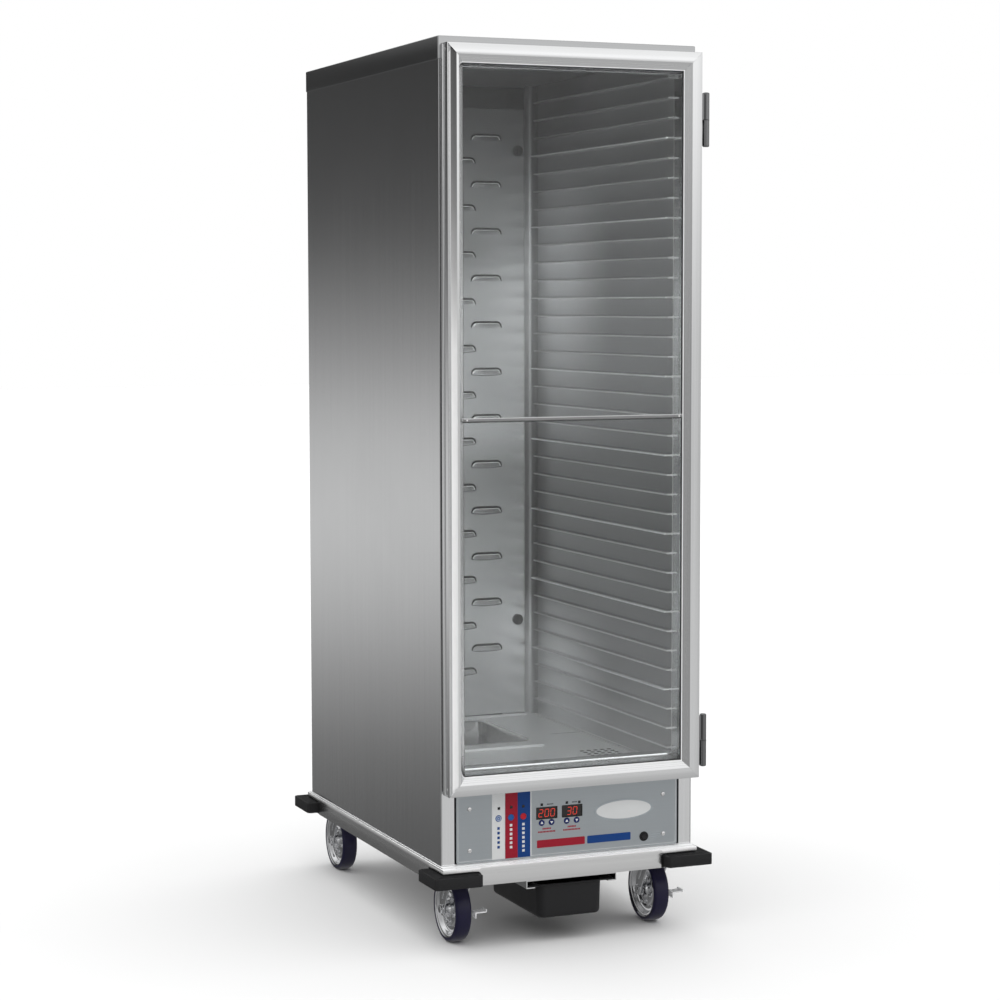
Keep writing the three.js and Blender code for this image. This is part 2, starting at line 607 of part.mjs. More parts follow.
// back disc with its shaft, front ring, and blades between them
function blowerWheel() {
  const bladeCount = 10;
  const ring = carve(cyl('x', 33, -51, -48, 0, 0, 24), cyl('x', 27, -55, -44, 0, 0, 24));
  const blades = Array.from({ length: bladeCount }, (_, i) =>
    box(-50, 50, 27, 32.6, -0.8, 0.8).rotateX((i / bladeCount) * 2 * Math.PI));
  return fuse(cyl('x', 33, 48, 51, 0, 0, 24), cyl('x', 3.2, 49, BLOWER_X + 20, 0, 0, 12),
    ring, ...blades);
}
add(group(controls, 0, BLOWER_Y, BLOWER_Z), 'blower_wheel', blowerWheel(), wheelMetal());

// ---------------------------------------------------------------- supply cord
const PLUG_X = CORD_X - 58;
// x from the cord hole, y, z
const CORD_PATH = [
  [0, 378, CORD_Z], [0, 396, CORD_Z - 1], [-1, 411, CORD_Z - 16], [-2, 415, CORD_Z - 50],
  [-3, 416, 140], [-12, 416, 92], [-30, 416, 76], [-48, 416, 92],
  [-57, 416, 140], [-58, 412, 190], [-58, 405, 214],
];

// the cord hangs in a loop, its plug parked on the back
function powerCord() {
  const path = new THREE.CatmullRomCurve3(
    CORD_PATH.map(([x, y, z]) => new THREE.Vector3(CORD_X + x, y, z)));
  const blade = (x) => box(x - 0.8, x + 0.8, 400, 406.5, 245, 264);
  return fuse(rod(path, 4.5, 6, 32),
    box(PLUG_X - 14, PLUG_X + 14, 391, 417, 210, 246),
    blade(PLUG_X - 6.7), blade(PLUG_X + 6.7),
    cyl('z', 2.4, 245, 266, PLUG_X, 397, 8));
}
add(controls, 'power_cord', powerCord(), blackPlastic());

// ---------------------------------------------------------------- door
const HINGE_X = 276.0;          // hinge axis, origin of the door group
const HINGE_Y = -406.0;
const DOOR_X0 = -258.5 - HINGE_X;         // door edges in the door group
const DOOR_X1 = 260.0 - HINGE_X;
const DOOR_Y0 = -422.3 - HINGE_Y;         // front face of the door
const DOOR_Z0 = 301.6;
const DOOR_Z1 = 1688.0;
const DOOR_T = 34.0;
const GLASS_V = 12.0;           // glass set back from the door face
const GLASS_T = 4.5;
const GLASS_EDGE = 29.4;        // glass edge in from the door edge
const MITRE_GAP = 0.15;         // cut back from each mitre
const door = group(cabinet, HINGE_X, HINGE_Y, 0);

// Sections of the door extrusions: [u, v], u from the outer edge inwards, v from the
// face to the back. Both end in the same inner edge with a slot for the glass.
const innerEdge = (nose) => [
  [nose, GLASS_V - GAP], [29, GLASS_V - GAP],
  [29, GLASS_V + GLASS_T + GAP], [nose, GLASS_V + GLASS_T + GAP],
  [nose, 20], [28, DOOR_T], [0, DOOR_T],
];
const railSection = [[0, 0.8], [0.8, 0], [20, 0], [21, 0.6], [35, 8.6], ...innerEdge(35)];
const pullSection = [
  [0, 0], [1.6, 0], [3.2, 3.2], [9.8, 4.8], [16.4, 3.2], [18.6, 0], [23, 0], [33, 7.6],
  ...innerEdge(33), [0, 26], [2.5, 25], [2.5, 9], [0, 8],
];
// the hollow running through each extrusion, open at both mitres
const railHollow = [[2.2, 4.6], [19, 4.6], [27, 10], [27, 18.6], [25.4, 31.8], [2.2, 31.8]];
const pullHollow = [
  [4.7, 7.6], [16, 6.6], [21.5, 4.2], [27, 9], [27, 18.6], [25.4, 31.8], [4.7, 31.8],
];

function mitred(section, hollow, edge) {
  const along = (from, to, u, t) =>
    (from + u + MITRE_GAP) + t * (to - from - 2 * u - 2 * MITRE_GAP);
  return remap(extrude(outline(section, [hollow]), 1), (u, v, t) => {
    const y = DOOR_Y0 + v;
    if (edge === 'top') return [along(DOOR_X0, DOOR_X1, u, t), y, DOOR_Z1 - u];
    if (edge === 'bottom') return [along(DOOR_X0, DOOR_X1, u, t), y, DOOR_Z0 + u];
    return [edge === 'left' ? DOOR_X0 + u : DOOR_X1 - u, y, along(DOOR_Z0, DOOR_Z1, u, t)];
  });
}
add(door, 'door_stile_latch', mitred(pullSection, pullHollow, 'left'), bright());
add(door, 'door_stile_hinge', mitred(railSection, railHollow, 'right'), bright());
add(door, 'door_rail_top', mitred(railSection, railHollow, 'top'), bright());
add(door, 'door_rail_bottom', mitred(railSection, railHollow, 'bottom'), bright());
add(door, 'door_window', box(
  DOOR_X0 + GLASS_EDGE, DOOR_X1 - GLASS_EDGE,
  DOOR_Y0 + GLASS_V, DOOR_Y0 + GLASS_V + GLASS_T,
  DOOR_Z0 + GLASS_EDGE, DOOR_Z1 - GLASS_EDGE), glass());
add(door, 'door_mid_bar', box(DOOR_X0 + 33.4, DOOR_X1 - 35.4,
  DOOR_Y0 + 8.6, DOOR_Y0 + GLASS_V - GAP, 996.5, 1005), bright());

const gasketLoop = (halfX, z0, z1) => rectangle(-halfX - HINGE_X, halfX - HINGE_X, z0, z1);
add(door, 'door_gasket', prism('y', gasketLoop(252, 306, 1659),
  DOOR_Y0 + DOOR_T + GAP, -BODY_Y - 0.4 - HINGE_Y,
  [gasketLoop(240, 318, 1649)]), gasketRubber());

// ---------------------------------------------------------------- hinges
// lift-off hinges: the frame leaf carries the pin, the door leaf drops over it
const KNUCKLE_R = 6.5;
const HINGE_L = 98.0;
const HINGES = [['lower', 322.0], ['upper', 1514.0]];     // label, bottom end

function frameLeaf(z0, middle, z1) {
  const x0 = BODY_X + GAP - HINGE_X;
  const x1 = x0 + 2.2;
  const leaf = [[x0, 6], [x0, 61], [x1, 61], [x1, 7], [-1, 5.4], [-5.5, 0], [x0, 2]];
  return fuse(
    cyl('z', KNUCKLE_R, z0, middle - 0.2, 0, 0, 20),
    cyl('z', 3.0, middle - 1, z1 - 3, 0, 0, 12),
    prism('z', leaf, z0, middle - 0.2));
}

function doorLeaf(z0, middle, z1) {
  const x0 = DOOR_X1 + GAP;
  const bottom = middle + 0.2;
  const leaf = fuse(
    cyl('z', KNUCKLE_R, bottom, z1, 0, 0, 20),
    box(x0, x0 + 2.0, -14, 15, bottom, z1),
    box(x0, -2, -3.4, -1.2, bottom, z1));
  return carve(leaf, cyl('z', 3.3, z0, z1 - 2.4, 0, 0, 12));
}

for (const [label, z0] of HINGES) {
  const heights = [z0, z0 + HINGE_L / 2, z0 + HINGE_L];
  const fixed = group(cabinet, HINGE_X, HINGE_Y, 0);
  add(fixed, `hinge_${label}_leaf_frame`, frameLeaf(...heights), stainless());
  add(door, `hinge_${label}_leaf_door`, doorLeaf(...heights), stainless());
}

// ---------------------------------------------------------------- condensate drip pan
const DRIP_Y0 = -401.0;
const DRIP_Y1 = -150.0;
const DRIP_WALL = 2.4;
const HANGER_Z0 = 110;
const HANGER_Z1 = BASE_Z0 - GAP;
const HANGER_T = 2;
const under = group(cabinet, 0, 0, 0);

// channel slotted along its floor, leaving a ledge each side for the pan's rim
const hangerCutY = [DRIP_Y0 - OVER, DRIP_Y1 + 8 + OVER];
add(under, 'drip_pan_hanger', carve(
  midBox(94, DRIP_Y0 + 1, DRIP_Y1 + 8, HANGER_Z0, HANGER_Z1),
  midBox(94 - HANGER_T, ...hangerCutY, HANGER_Z0 + HANGER_T, HANGER_Z1 - HANGER_T),
  midBox(76, ...hangerCutY, HANGER_Z0 - OVER, HANGER_Z0 + HANGER_T + 0.5)), brushed());

function dripPan() {
  const tub = (inset, z0, z1) => roundBlock(66 - inset,
    DRIP_Y0 + 6 + inset, DRIP_Y1 - 6 - inset, 12 - inset, 4, z0, z1);
  const rim = roundBlock(90, DRIP_Y0, DRIP_Y1, 5, 3, 112.5, 115.1);
  return carve(fuse(rim, tub(0, 48, 113.5)), tub(DRIP_WALL, 48 + DRIP_WALL, 115.1 + OVER));
}
add(under, 'drip_pan', dripPan(), blackPlastic());

// ---------------------------------------------------------------- swivel casters
const TRAIL = 28.5;             // wheel centre behind the swivel axis
const WHEEL_R = 63.5;           // 5 in wheel
const HUB_R = 54.7;
const TYRE_R = 55.0;            // inner radius of the tyre
// (y,z) outline of a fork leg
const LEG = [
  [-27, 137.5], [31, 137.5], [38, 112], [40, 70], [TRAIL + 9, WHEEL_R - 8.5],
  [TRAIL, WHEEL_R - 12.5], [TRAIL - 9, WHEEL_R - 8.5], [TRAIL - 12, WHEEL_R + 4],
  [-8, 108], [-25, 128],
];
// (y,z) outline of the brake pedal's side arm
const PEDAL_ARM = [
  [TRAIL + 8, WHEEL_R + 7], [TRAIL + 10, WHEEL_R - 2], [TRAIL + 4, WHEEL_R - 9],
  [TRAIL - 8, WHEEL_R - 8], [-14, 56], [-33, 54], [-33, 66], [-12, 68],
];
// [radius, x]: wheel centre with bearing boss, recessed web and rim
const HUB_PROFILE = [
  [6.2, -17], [12.5, -17], [17, -6], [45, -4], [HUB_R, -15],
  [HUB_R, 15], [45, 4], [17, 6], [12.5, 17], [6.2, 17],
];
const TYRE_PROFILE = [
  [TYRE_R, -15.8], [61.2, -15.8], [WHEEL_R, -9.5],
  [WHEEL_R, 9.5], [61.2, 15.8], [TYRE_R, 15.8],
];

const axleCyl = (radius, x0, x1, sides) => cyl('x', radius, x0, x1, TRAIL, WHEEL_R, sides);
const hexNut = (x0, x1) => axleCyl(8.5, x0, x1, 6);

function casterFork(braked) {
  const axleEnd = braked ? 30.5 : 27;     // reaches past the pedal when there is one
  const parts = [
    prism('x', LEG, -22, -19), prism('x', LEG, 19, 22),
    box(-22, 22, -27, 31, 137, 140),
    cyl('z', 31, 139.5, 148.0, 0, 0, 20),
    cyl('z', 6.0, 147.5, 158.5, 0, 0, 12),
    axleCyl(5.4, -26, axleEnd - 1, 12),
    hexNut(-27, -21.5), hexNut(axleEnd - 5, axleEnd),
  ];
  if (!braked) parts.push(hexNut(21.5, 24));
  return fuse(...parts);
}

function brakePedal() {
  const tread = box(24.4, 46, -33, -9, 64, 66);
  const lip = box(44, 46, -33, -9, 65.5, 70);
  return carve(fuse(prism('x', PEDAL_ARM, 22.6, 24.8), tread, lip), axleCyl(6.0, 20, 30, 16));
}

for (const [label, sideX, sideY] of CORNERS) {
  const braked = sideY < 0;
  const name = `caster_${label}`;
  const caster = group(cabinet, sideX * CASTER_X, casterY(sideY), 0);
  add(caster, `${name}_fork`, casterFork(braked), zinc());
  add(caster, `${name}_hub`, turnX(HUB_PROFILE, 28, TRAIL, WHEEL_R), zinc());
  add(caster, `${name}_tyre`, turnX(TYRE_PROFILE, 28, TRAIL, WHEEL_R), tyrePlastic());
  if (braked) add(caster, `${name}_brake_pedal`, brakePedal(), zinc());
}

export default cabinet;
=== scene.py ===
# A heated proofing cabinet on four casters, with a clear door, slide racks, an air duct inside
# and a control panel in its foot. x runs across (left is negative, seen from the front), y runs
# from front (negative) to back, z is up from the floor. Pieces are drawn in millimetres and
# stored in metres; materials work in metres.
import bpy, bmesh, json, math
from collections import namedtuple
from functools import cached_property
from mathutils import Vector, Matrix
from mathutils.geometry import tessellate_polygon


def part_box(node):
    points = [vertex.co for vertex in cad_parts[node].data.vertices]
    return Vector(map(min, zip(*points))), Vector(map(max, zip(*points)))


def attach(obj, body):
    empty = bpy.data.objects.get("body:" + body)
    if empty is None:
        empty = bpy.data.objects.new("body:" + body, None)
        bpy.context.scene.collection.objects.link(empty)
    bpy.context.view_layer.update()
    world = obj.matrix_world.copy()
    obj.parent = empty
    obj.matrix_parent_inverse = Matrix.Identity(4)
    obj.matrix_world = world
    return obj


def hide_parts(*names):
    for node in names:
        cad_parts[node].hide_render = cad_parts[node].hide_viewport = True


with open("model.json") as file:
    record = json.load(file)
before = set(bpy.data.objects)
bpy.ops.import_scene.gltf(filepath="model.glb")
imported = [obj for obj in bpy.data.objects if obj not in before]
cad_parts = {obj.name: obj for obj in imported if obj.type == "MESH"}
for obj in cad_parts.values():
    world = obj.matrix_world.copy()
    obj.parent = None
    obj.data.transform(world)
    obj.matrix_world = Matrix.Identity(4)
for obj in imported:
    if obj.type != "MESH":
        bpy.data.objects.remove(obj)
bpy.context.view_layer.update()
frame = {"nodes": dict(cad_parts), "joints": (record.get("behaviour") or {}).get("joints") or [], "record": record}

MM = 0.001
NODES = frame["nodes"]
JOINTS = {joint["name"]: joint for joint in frame["joints"]}
SLOT_OF = {part["node"]: part["material_slot"] for part in frame["record"]["subparts"]}
scene = bpy.context.scene
Box = namedtuple("Box", "x0 x1 y0 y1 z0 z1")


def box(name):
    """Box of a CAD node in millimetres."""
    low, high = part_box(name)
    return Box(low.x / MM, high.x / MM, low.y / MM, high.y / MM, low.z / MM, high.z / MM)


def joint_xy(joint):
    return joint["pos_m"][0] / MM, joint["pos_m"][1] / MM


def place(name, data):
    thing = bpy.data.objects.new(name, data)
    scene.collection.objects.link(thing)
    return thing


def register(thing, body, replaces):
    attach(thing, body)
    if replaces:
        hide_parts(replaces)


# ------------------------------------------------------------------ shader building
def rgba(value):
    return (*value, 1) if isinstance(value, tuple) else value


class Shader:
    """A node tree being built; every input takes a number or a socket."""

    def __init__(self, tree):
        self.tree = tree
        tree.nodes.clear()

    def node(self, kind, inputs=None, **properties):
        made = self.tree.nodes.new("ShaderNode" + kind)
        for key, value in properties.items():
            setattr(made, key, value)
        for key, value in (inputs or {}).items():
            if isinstance(value, bpy.types.NodeSocket):
                self.tree.links.new(value, made.inputs[key])
            else:
                made.inputs[key].default_value = value
        return made

    @cached_property
    def position(self):
        return self.node("TexCoord").outputs["Object"]

    def split(self, vector):
        return self.node("SeparateXYZ", {0: vector}).outputs

    def math(self, operation, a, b=0.0, clamp=False):
        return self.node("Math", {0: a, 1: b}, operation=operation, use_clamp=clamp).outputs[0]

    def add(self, a, b, clamp=False):
        return self.math("ADD", a, b, clamp)

    def subtract(self, a, b):
        return self.math("SUBTRACT", a, b)

    def multiply(self, a, b):
        return self.math("MULTIPLY", a, b)

    def below(self, a, limit):
        return self.math("LESS_THAN", a, limit)

    def above(self, a, limit):
        return self.math("GREATER_THAN", a, limit)

    def ramp(self, value, stops, interpolation="LINEAR"):
        """Grey ramp; stops are (position, level)."""
        made = self.node("ValToRGB", {0: value})
        made.color_ramp.interpolation = interpolation
        elements = made.color_ramp.elements
        while len(elements) > 1:
            elements.remove(elements[-1])
        for i, (position, level) in enumerate(stops):
            element = elements[0] if i == 0 else elements.new(position)
            element.position = position
            element.color = (level, level, level, 1)
        return made.outputs[0]

    def mix(self, share, a, b, blend="MIX"):
        inputs = {0: share, 6: rgba(a), 7: rgba(b)}
        return self.node("Mix", inputs, data_type="RGBA", blend_type=blend).outputs[2]

    def mix_shader(self, share, a, b):
        return self.node("MixShader", {0: share, 1: a.outputs[0], 2: b.outputs[0]})

    def noise(self, scale, stretch=(1, 1, 1), detail=3.0, roughness=0.55):
        sizes = tuple(scale * s for s in stretch)
        mapping = self.node("Mapping", {"Vector": self.position, "Scale": sizes})
        return self.node("TexNoise", {"Vector": mapping.outputs[0], "Scale": 1.0,
                                      "Detail": detail, "Roughness": roughness}).outputs[0]

    def bump(self, height, strength, distance, **more):
        inputs = {"Strength": strength, "Distance": distance, "Height": height, **more}
        return self.node("Bump", inputs).outputs[0]


def new_material(name):
    material = bpy.data.materials.new(name)
    material.use_nodes = True
    return material, Shader(material.node_tree)


def toned(colour, tone):
    """The colour made darker and lighter by the share `tone`."""
    return tuple(c * (1 - tone) for c in colour), tuple(min(1.0, c * (1 + tone)) for c in colour)


# ------------------------------------------------------------------ painted light and shade masks (metres)
SHADE_RAMP_BASE, SHADE_RAMP_SPAN = 0.28, 1.45    # lowest height and height range of the painted-shade ramps


def height_ramp(sh, stops):
    """Grey level by height; stops are (height, level). Also returns the x, y, z sockets."""
    place_xyz = sh.split(sh.position)
    share = sh.math("DIVIDE", sh.subtract(place_xyz[2], SHADE_RAMP_BASE), SHADE_RAMP_SPAN)
    levels = sorted(((z - SHADE_RAMP_BASE) / SHADE_RAMP_SPAN, level) for z, level in stops)
    return sh.ramp(share, levels), place_xyz


# A painted-light mask returns (share of painted light, painted colour).
def painted_top_highlight(sh):
    """Faces that look up are painted bright: a painted highlight of the light from above."""
    normal_z = sh.split(sh.node("NewGeometry").outputs["Normal"])[2]
    return sh.ramp(normal_z, [(0.0, 0.0), (0.35, 0.0), (0.62, 1.0), (1.0, 1.0)]), (0.93, 0.935, 0.94)


def painted_slide_highlights(sh):
    """Slide noses, front edge and foot of the rack painted bright as painted highlights, darkened with height as
    painted shade.
    """
    x, y, z = sh.split(sh.position)
    across = sh.math("ABSOLUTE", x)
    # the nose zone starts at 0.215 m from the middle and fades over 20 mm
    nose = sh.ramp(sh.multiply(sh.subtract(across, 0.215), 50.0),
                   [(0.0, 1.0), (0.48, 1.0), (0.60, 0.0), (1.0, 0.0)])
    nose = sh.multiply(nose, sh.below(y, 0.3005))
    front_edge = sh.multiply(sh.below(y, -0.3488), sh.below(across, 0.2372))
    foot = sh.below(z, 0.3170)
    mask = sh.add(sh.add(nose, front_edge), sh.multiply(foot, 0.9), clamp=True)
    # the painted colour darkens with height: painted shade
    tone, _ = height_ramp(sh, [(1.68, 0.34), (1.5, 0.46), (1.3, 0.60), (0.5, 0.66), (0.33, 0.80)])
    broad_slide = sh.below(across, 0.2215)
    return mask, sh.mix(sh.multiply(broad_slide, 0.75), tone, (0.90, 0.905, 0.91))


def painted_grip_light(sh):
    """Channel of the pull stile: painted light low down, painted shade higher up."""
    x, y, _ = sh.split(sh.position)
    inside = sh.multiply(sh.above(x, -0.2503), sh.below(x, -0.2400))
    inside = sh.multiply(inside, sh.below(y, -0.4150))
    tone, _ = height_ramp(sh, [(1.68, 0.10), (1.60, 0.12), (1.50, 0.18), (1.40, 0.28),
                               (1.27, 0.52), (1.13, 0.90), (1.0, 0.97), (0.3, 0.97)])
    return inside, tone


# A painted-shade mask returns a grey of painted light and shade that multiplies the base colour.
def shade_bar(sh):
    """Door cross bar: painted highlight on the upper edge, painted shade at the foot, over the 10 mm from 0.9955 m
    up.
    """
    share = sh.multiply(sh.subtract(sh.split(sh.position)[2], 0.9955), 100.0)
    return sh.ramp(share, [(0.0, 0.10), (0.26, 0.10), (0.34, 0.50), (0.72, 0.50),
                           (0.80, 0.95), (1.0, 0.95)])


def shade_duct(sh):
    """Air duct: painted light and shade by height, full in the middle, darker near the top and behind the pans."""
    return height_ramp(sh, [
        (1.68, 0.15), (1.632, 0.16), (1.58, 0.22), (1.502, 0.37), (1.415, 0.52), (1.329, 0.54),
        (1.242, 0.92), (1.112, 1.00), (1.026, 0.90), (0.939, 1.00), (0.853, 0.58),
        (0.679, 0.82), (0.506, 1.00), (0.376, 1.00)])[0]


def shade_rack(sh):
    """Slide walls: painted shade by height like the duct towards the back, evenly darker at the front."""
    rear, (x, y, _) = height_ramp(sh, [
        (1.68, 0.12), (1.593, 0.16), (1.50, 0.35), (1.415, 0.65), (1.307, 1.00), (1.156, 0.75),
        (1.03, 0.44), (0.896, 0.26), (0.745, 0.26), (0.593, 0.27), (0.463, 1.00), (0.377, 1.00)])
    front, _ = height_ramp(sh, [(1.68, 0.37), (1.55, 0.38), (1.45, 0.37), (1.30, 0.29),
                                (0.60, 0.30), (0.42, 0.42), (0.33, 0.57)])
    # the front flange is painted darker: painted shade
    post = sh.multiply(sh.below(y, -0.345), sh.above(sh.math("ABSOLUTE", x), 0.2374))
    front = sh.mix(sh.multiply(post, 0.5), front, (0.02, 0.02, 0.02))
    rearward = sh.ramp(sh.add(sh.multiply(y, 1.4), 0.5),
                       [(0.0, 0.0), (0.36, 0.0), (0.78, 1.0), (1.0, 1.0)], "EASE")
    return sh.mix(rearward, front, rear)


def shade_back(sh):
    """Back panel: plain outside; inside painted near black behind the duct and darker above it: painted shade."""
    inside, _ = height_ramp(sh, [(1.68, 0.16), (1.637, 0.17), (1.631, 0.02), (0.3, 0.02)])
    normal_y = sh.split(sh.node("NewGeometry").outputs["Normal"])[1]
    return sh.mix(sh.below(normal_y, -0.3), (1, 1, 1), inside)


# ------------------------------------------------------------------ materials
# stretch of the drawn grain and of the hairline scratches, by grain axis ("n" is none)
GRAIN = {"x": (0.012, 1, 1), "y": (1, 0.012, 1), "z": (1, 1, 0.012), "n": (1, 1, 1)}
SCRATCH = {"x": (0.05, 1, 1), "y": (1, 0.05, 1), "z": (1, 1, 0.05), "n": (1, 0.3, 1)}

# name: colour, roughness, grain axis, grain scale, bump strength,
#       broad wave, smudge, scratch, tone range, metallic
METALS = {
    "brushed_sheet": ((0.74, 0.745, 0.75), 0.13, "z", 900, 0.03, 0.03, 0.04, 0.25, 0.06, 1.0),
    "bright_extrusion": ((0.86, 0.865, 0.87), 0.17, "z", 1300, 0.05, 0, 0.05, 0.3, 0.06, 1.0),
    "base_aluminium": ((0.80, 0.80, 0.80), 0.22, "x", 1200, 0.06, 0, 0.05, 0.3, 0.06, 1.0),
    "galvanised": ((0.60, 0.61, 0.62), 0.38, "n", 160, 0.06, 0, 0.12, 0.3, 0.14, 1.0),
    "stainless": ((0.78, 0.78, 0.78), 0.20, "z", 1500, 0.05, 0, 0.06, 0.4, 0.06, 1.0),
    "zinc_plate": ((0.80, 0.805, 0.82), 0.13, "n", 700, 0.06, 0, 0.07, 0.4, 0.08, 1.0),
    "panel_face": ((0.40, 0.43, 0.45), 0.30, "x", 1500, 0.05, 0, 0.06, 0.2, 0.05, 0.85),
    "element_alloy": ((0.30, 0.27, 0.25), 0.42, "n", 500, 0.10, 0, 0.12, 0.3, 0.15, 1.0),
    # the deck sheet is near white and partly non-metallic: painted light inside the cabinet
    "deck_sheet": ((0.95, 0.955, 0.96), 0.30, "x", 700, 0.06, 0.02, 0.07, 0.4, 0.07, 0.6),
    "duct_sheet": ((0.90, 0.905, 0.91), 0.24, "z", 900, 0.012, 0, 0.03, 0.12, 0.03, 0.8),
    "rack_sheet": ((0.84, 0.845, 0.85), 0.38, "y", 900, 0.012, 0, 0.04, 0.1, 0.04, 0.65),
    # the cove sheet is the rack sheet darkened: painted shade in the corner
    "cove_sheet": ((0.56, 0.565, 0.57), 0.30, "z", 900, 0.012, 0, 0.04, 0.1, 0.04, 0.75),
    "pull_extrusion": ((0.86, 0.865, 0.87), 0.12, "z", 1300, 0.04, 0, 0.04, 0.3, 0.06, 1.0),
    "mid_bar_skin": ((0.84, 0.845, 0.85), 0.20, "x", 1300, 0.04, 0, 0.05, 0.3, 0.06, 1.0),
    "back_sheet": ((0.72, 0.725, 0.73), 0.24, "z", 900, 0.008, 0, 0.03, 0.05, 0.03, 1.0),
    # the ceiling sheet is darkened: painted shade under the top
    "ceiling_sheet": ((0.22, 0.222, 0.225), 0.36, "y", 900, 0.03, 0, 0.05, 0.25, 0.05, 0.7),
    "pedal_plate": ((0.90, 0.905, 0.91), 0.30, "n", 700, 0.05, 0, 0.06, 0.4, 0.05, 0.35),
    "cap_skin": ((0.50, 0.505, 0.51), 0.16, "x", 900, 0.03, 0.02, 0.04, 0.25, 0.06, 1.0),
    # the hinge steel is darkened: painted shade for the dark surroundings the hinges reflect
    "hinge_steel": ((0.22, 0.222, 0.226), 0.16, "z", 900, 0.05, 0, 0.06, 0.4, 0.06, 1.0),
    # near white and little metallic: a painted highlight along the lips
    "lip_highlight": ((0.93, 0.935, 0.94), 0.30, "x", 1200, 0.04, 0, 0.05, 0.3, 0.04, 0.3),
    "rail_extrusion": ((0.86, 0.865, 0.87), 0.17, "x", 1300, 0.05, 0, 0.05, 0.3, 0.06, 1.0),
    "screw_steel": ((0.80, 0.80, 0.80), 0.18, "n", 900, 0.06, 0, 0.08, 0.4, 0.06, 1.0),
}
PAINTED_LIGHT = {"base_aluminium": painted_top_highlight, "rack_sheet": painted_slide_highlights,
          "pull_extrusion": painted_grip_light}
PAINTED_SHADE = {"duct_sheet": shade_duct, "rack_sheet": shade_rack, "cove_sheet": shade_rack,
         "mid_bar_skin": shade_bar, "back_sheet": shade_back}

# name: colour, roughness, bump strength, texture scale, tone range, specular level, dust
PLASTICS = {
    "bumper_rubber": ((0.013, 0.013, 0.014), 0.60, 0.35, 700, 0.15, 0.22, 0.015),
    "tyre_poly": ((0.0075, 0.006, 0.030), 0.34, 0.10, 500, 0.15, 0.28, 0.004),
    "black_plastic": ((0.011, 0.011, 0.012), 0.42, 0.25, 900, 0.15, 0.28, 0.006),
    "gasket_rubber": ((0.045, 0.045, 0.047), 0.7, 0.3, 600, 0.12, 0.3, 0),
    "display_black": ((0.010, 0.008, 0.008), 0.18, 0.04, 900, 0.1, 0.5, 0),
    "key_blue": ((0.008, 0.085, 0.30), 0.40, 0.08, 1200, 0.1, 0.25, 0),
    "key_red": ((0.42, 0.008, 0.020), 0.40, 0.08, 1200, 0.1, 0.25, 0),
    "key_navy": ((0.006, 0.014, 0.10), 0.40, 0.08, 1200, 0.1, 0.25, 0),
    "print_white": ((0.60, 0.61, 0.61), 0.35, 0.05, 1500, 0.03, 0.3, 0),
    "print_red": ((0.27, 0.006, 0.020), 0.40, 0.05, 1500, 0.06, 0.2, 0),
    "print_blue": ((0.003, 0.040, 0.180), 0.40, 0.05, 1500, 0.06, 0.2, 0),
    "print_grey": ((0.30, 0.33, 0.35), 0.35, 0.05, 1500, 0.06, 0.5, 0),
    "led_dark": ((0.006, 0.006, 0.007), 0.25, 0.05, 1500, 0.12, 0.5, 0),
    # near black put where there is only shade: painted shade
    "painted_shade_black": ((0.0035, 0.0035, 0.0035), 0.9, 0.05, 900, 0.1, 0.0, 0),
}


def metal(name, colour, roughness, axis, grain, bump, wave, smudge, scratch, tone, metallic):
    """Worked metal: drawn grain, broad handling marks and a few hairline scratches."""
    material, sh = new_material(name)
    fine = sh.noise(grain, GRAIN[axis], detail=2.0, roughness=0.6)
    coarse = sh.noise(grain * 0.22, GRAIN[axis], detail=2.0, roughness=0.5)
    broad = sh.noise(5.0, detail=4.0, roughness=0.6)
    hairs = sh.ramp(sh.noise(260.0, SCRATCH[axis], detail=1.0, roughness=0.4),
                    [(0.0, 0.0), (0.71, 0.0), (0.735, 1.0), (0.76, 0.0), (1.0, 0.0)])
    rough = sh.add(sh.multiply(sh.subtract(coarse, 0.5), smudge),
                   sh.multiply(sh.subtract(broad, 0.5), smudge * 1.6))
    rough = sh.add(sh.add(rough, roughness), sh.multiply(hairs, 0.12 * scratch), clamp=True)
    base = sh.mix(coarse, *toned(colour, tone))
    base = sh.mix(sh.multiply(broad, 0.5), base, tuple(c * 0.94 for c in colour))
    height = sh.add(fine, sh.multiply(hairs, -0.6 * scratch))
    normal = sh.bump(height, strength=bump, distance=0.0004)
    if wave:
        swell = sh.noise(3.2, (1, 1, 0.6), detail=1.0, roughness=0.4)
        normal = sh.bump(swell, strength=wave, distance=0.004, Normal=normal)
    # painted shade: the colour multiplied by a grey of painted light and shade
    if name in PAINTED_SHADE:
        base = sh.mix(1.0, base, PAINTED_SHADE[name](sh), "MULTIPLY")
    # painted highlights and painted shade mixed into the colour, less metallic where painted
    if name in PAINTED_LIGHT:
        share, painted_colour = PAINTED_LIGHT[name](sh)
        base = sh.mix(share, base, painted_colour)
        metallic = sh.add(sh.multiply(sh.subtract(1.0, share), metallic),
                          sh.multiply(share, 0.3))
        rough = sh.add(rough, sh.multiply(share, 0.08), clamp=True)
    surface = sh.node("BsdfPrincipled", {"Base Color": base, "Metallic": metallic,
                                         "Roughness": rough, "Normal": normal})
    sh.node("OutputMaterial", {0: surface.outputs[0]})
    return material


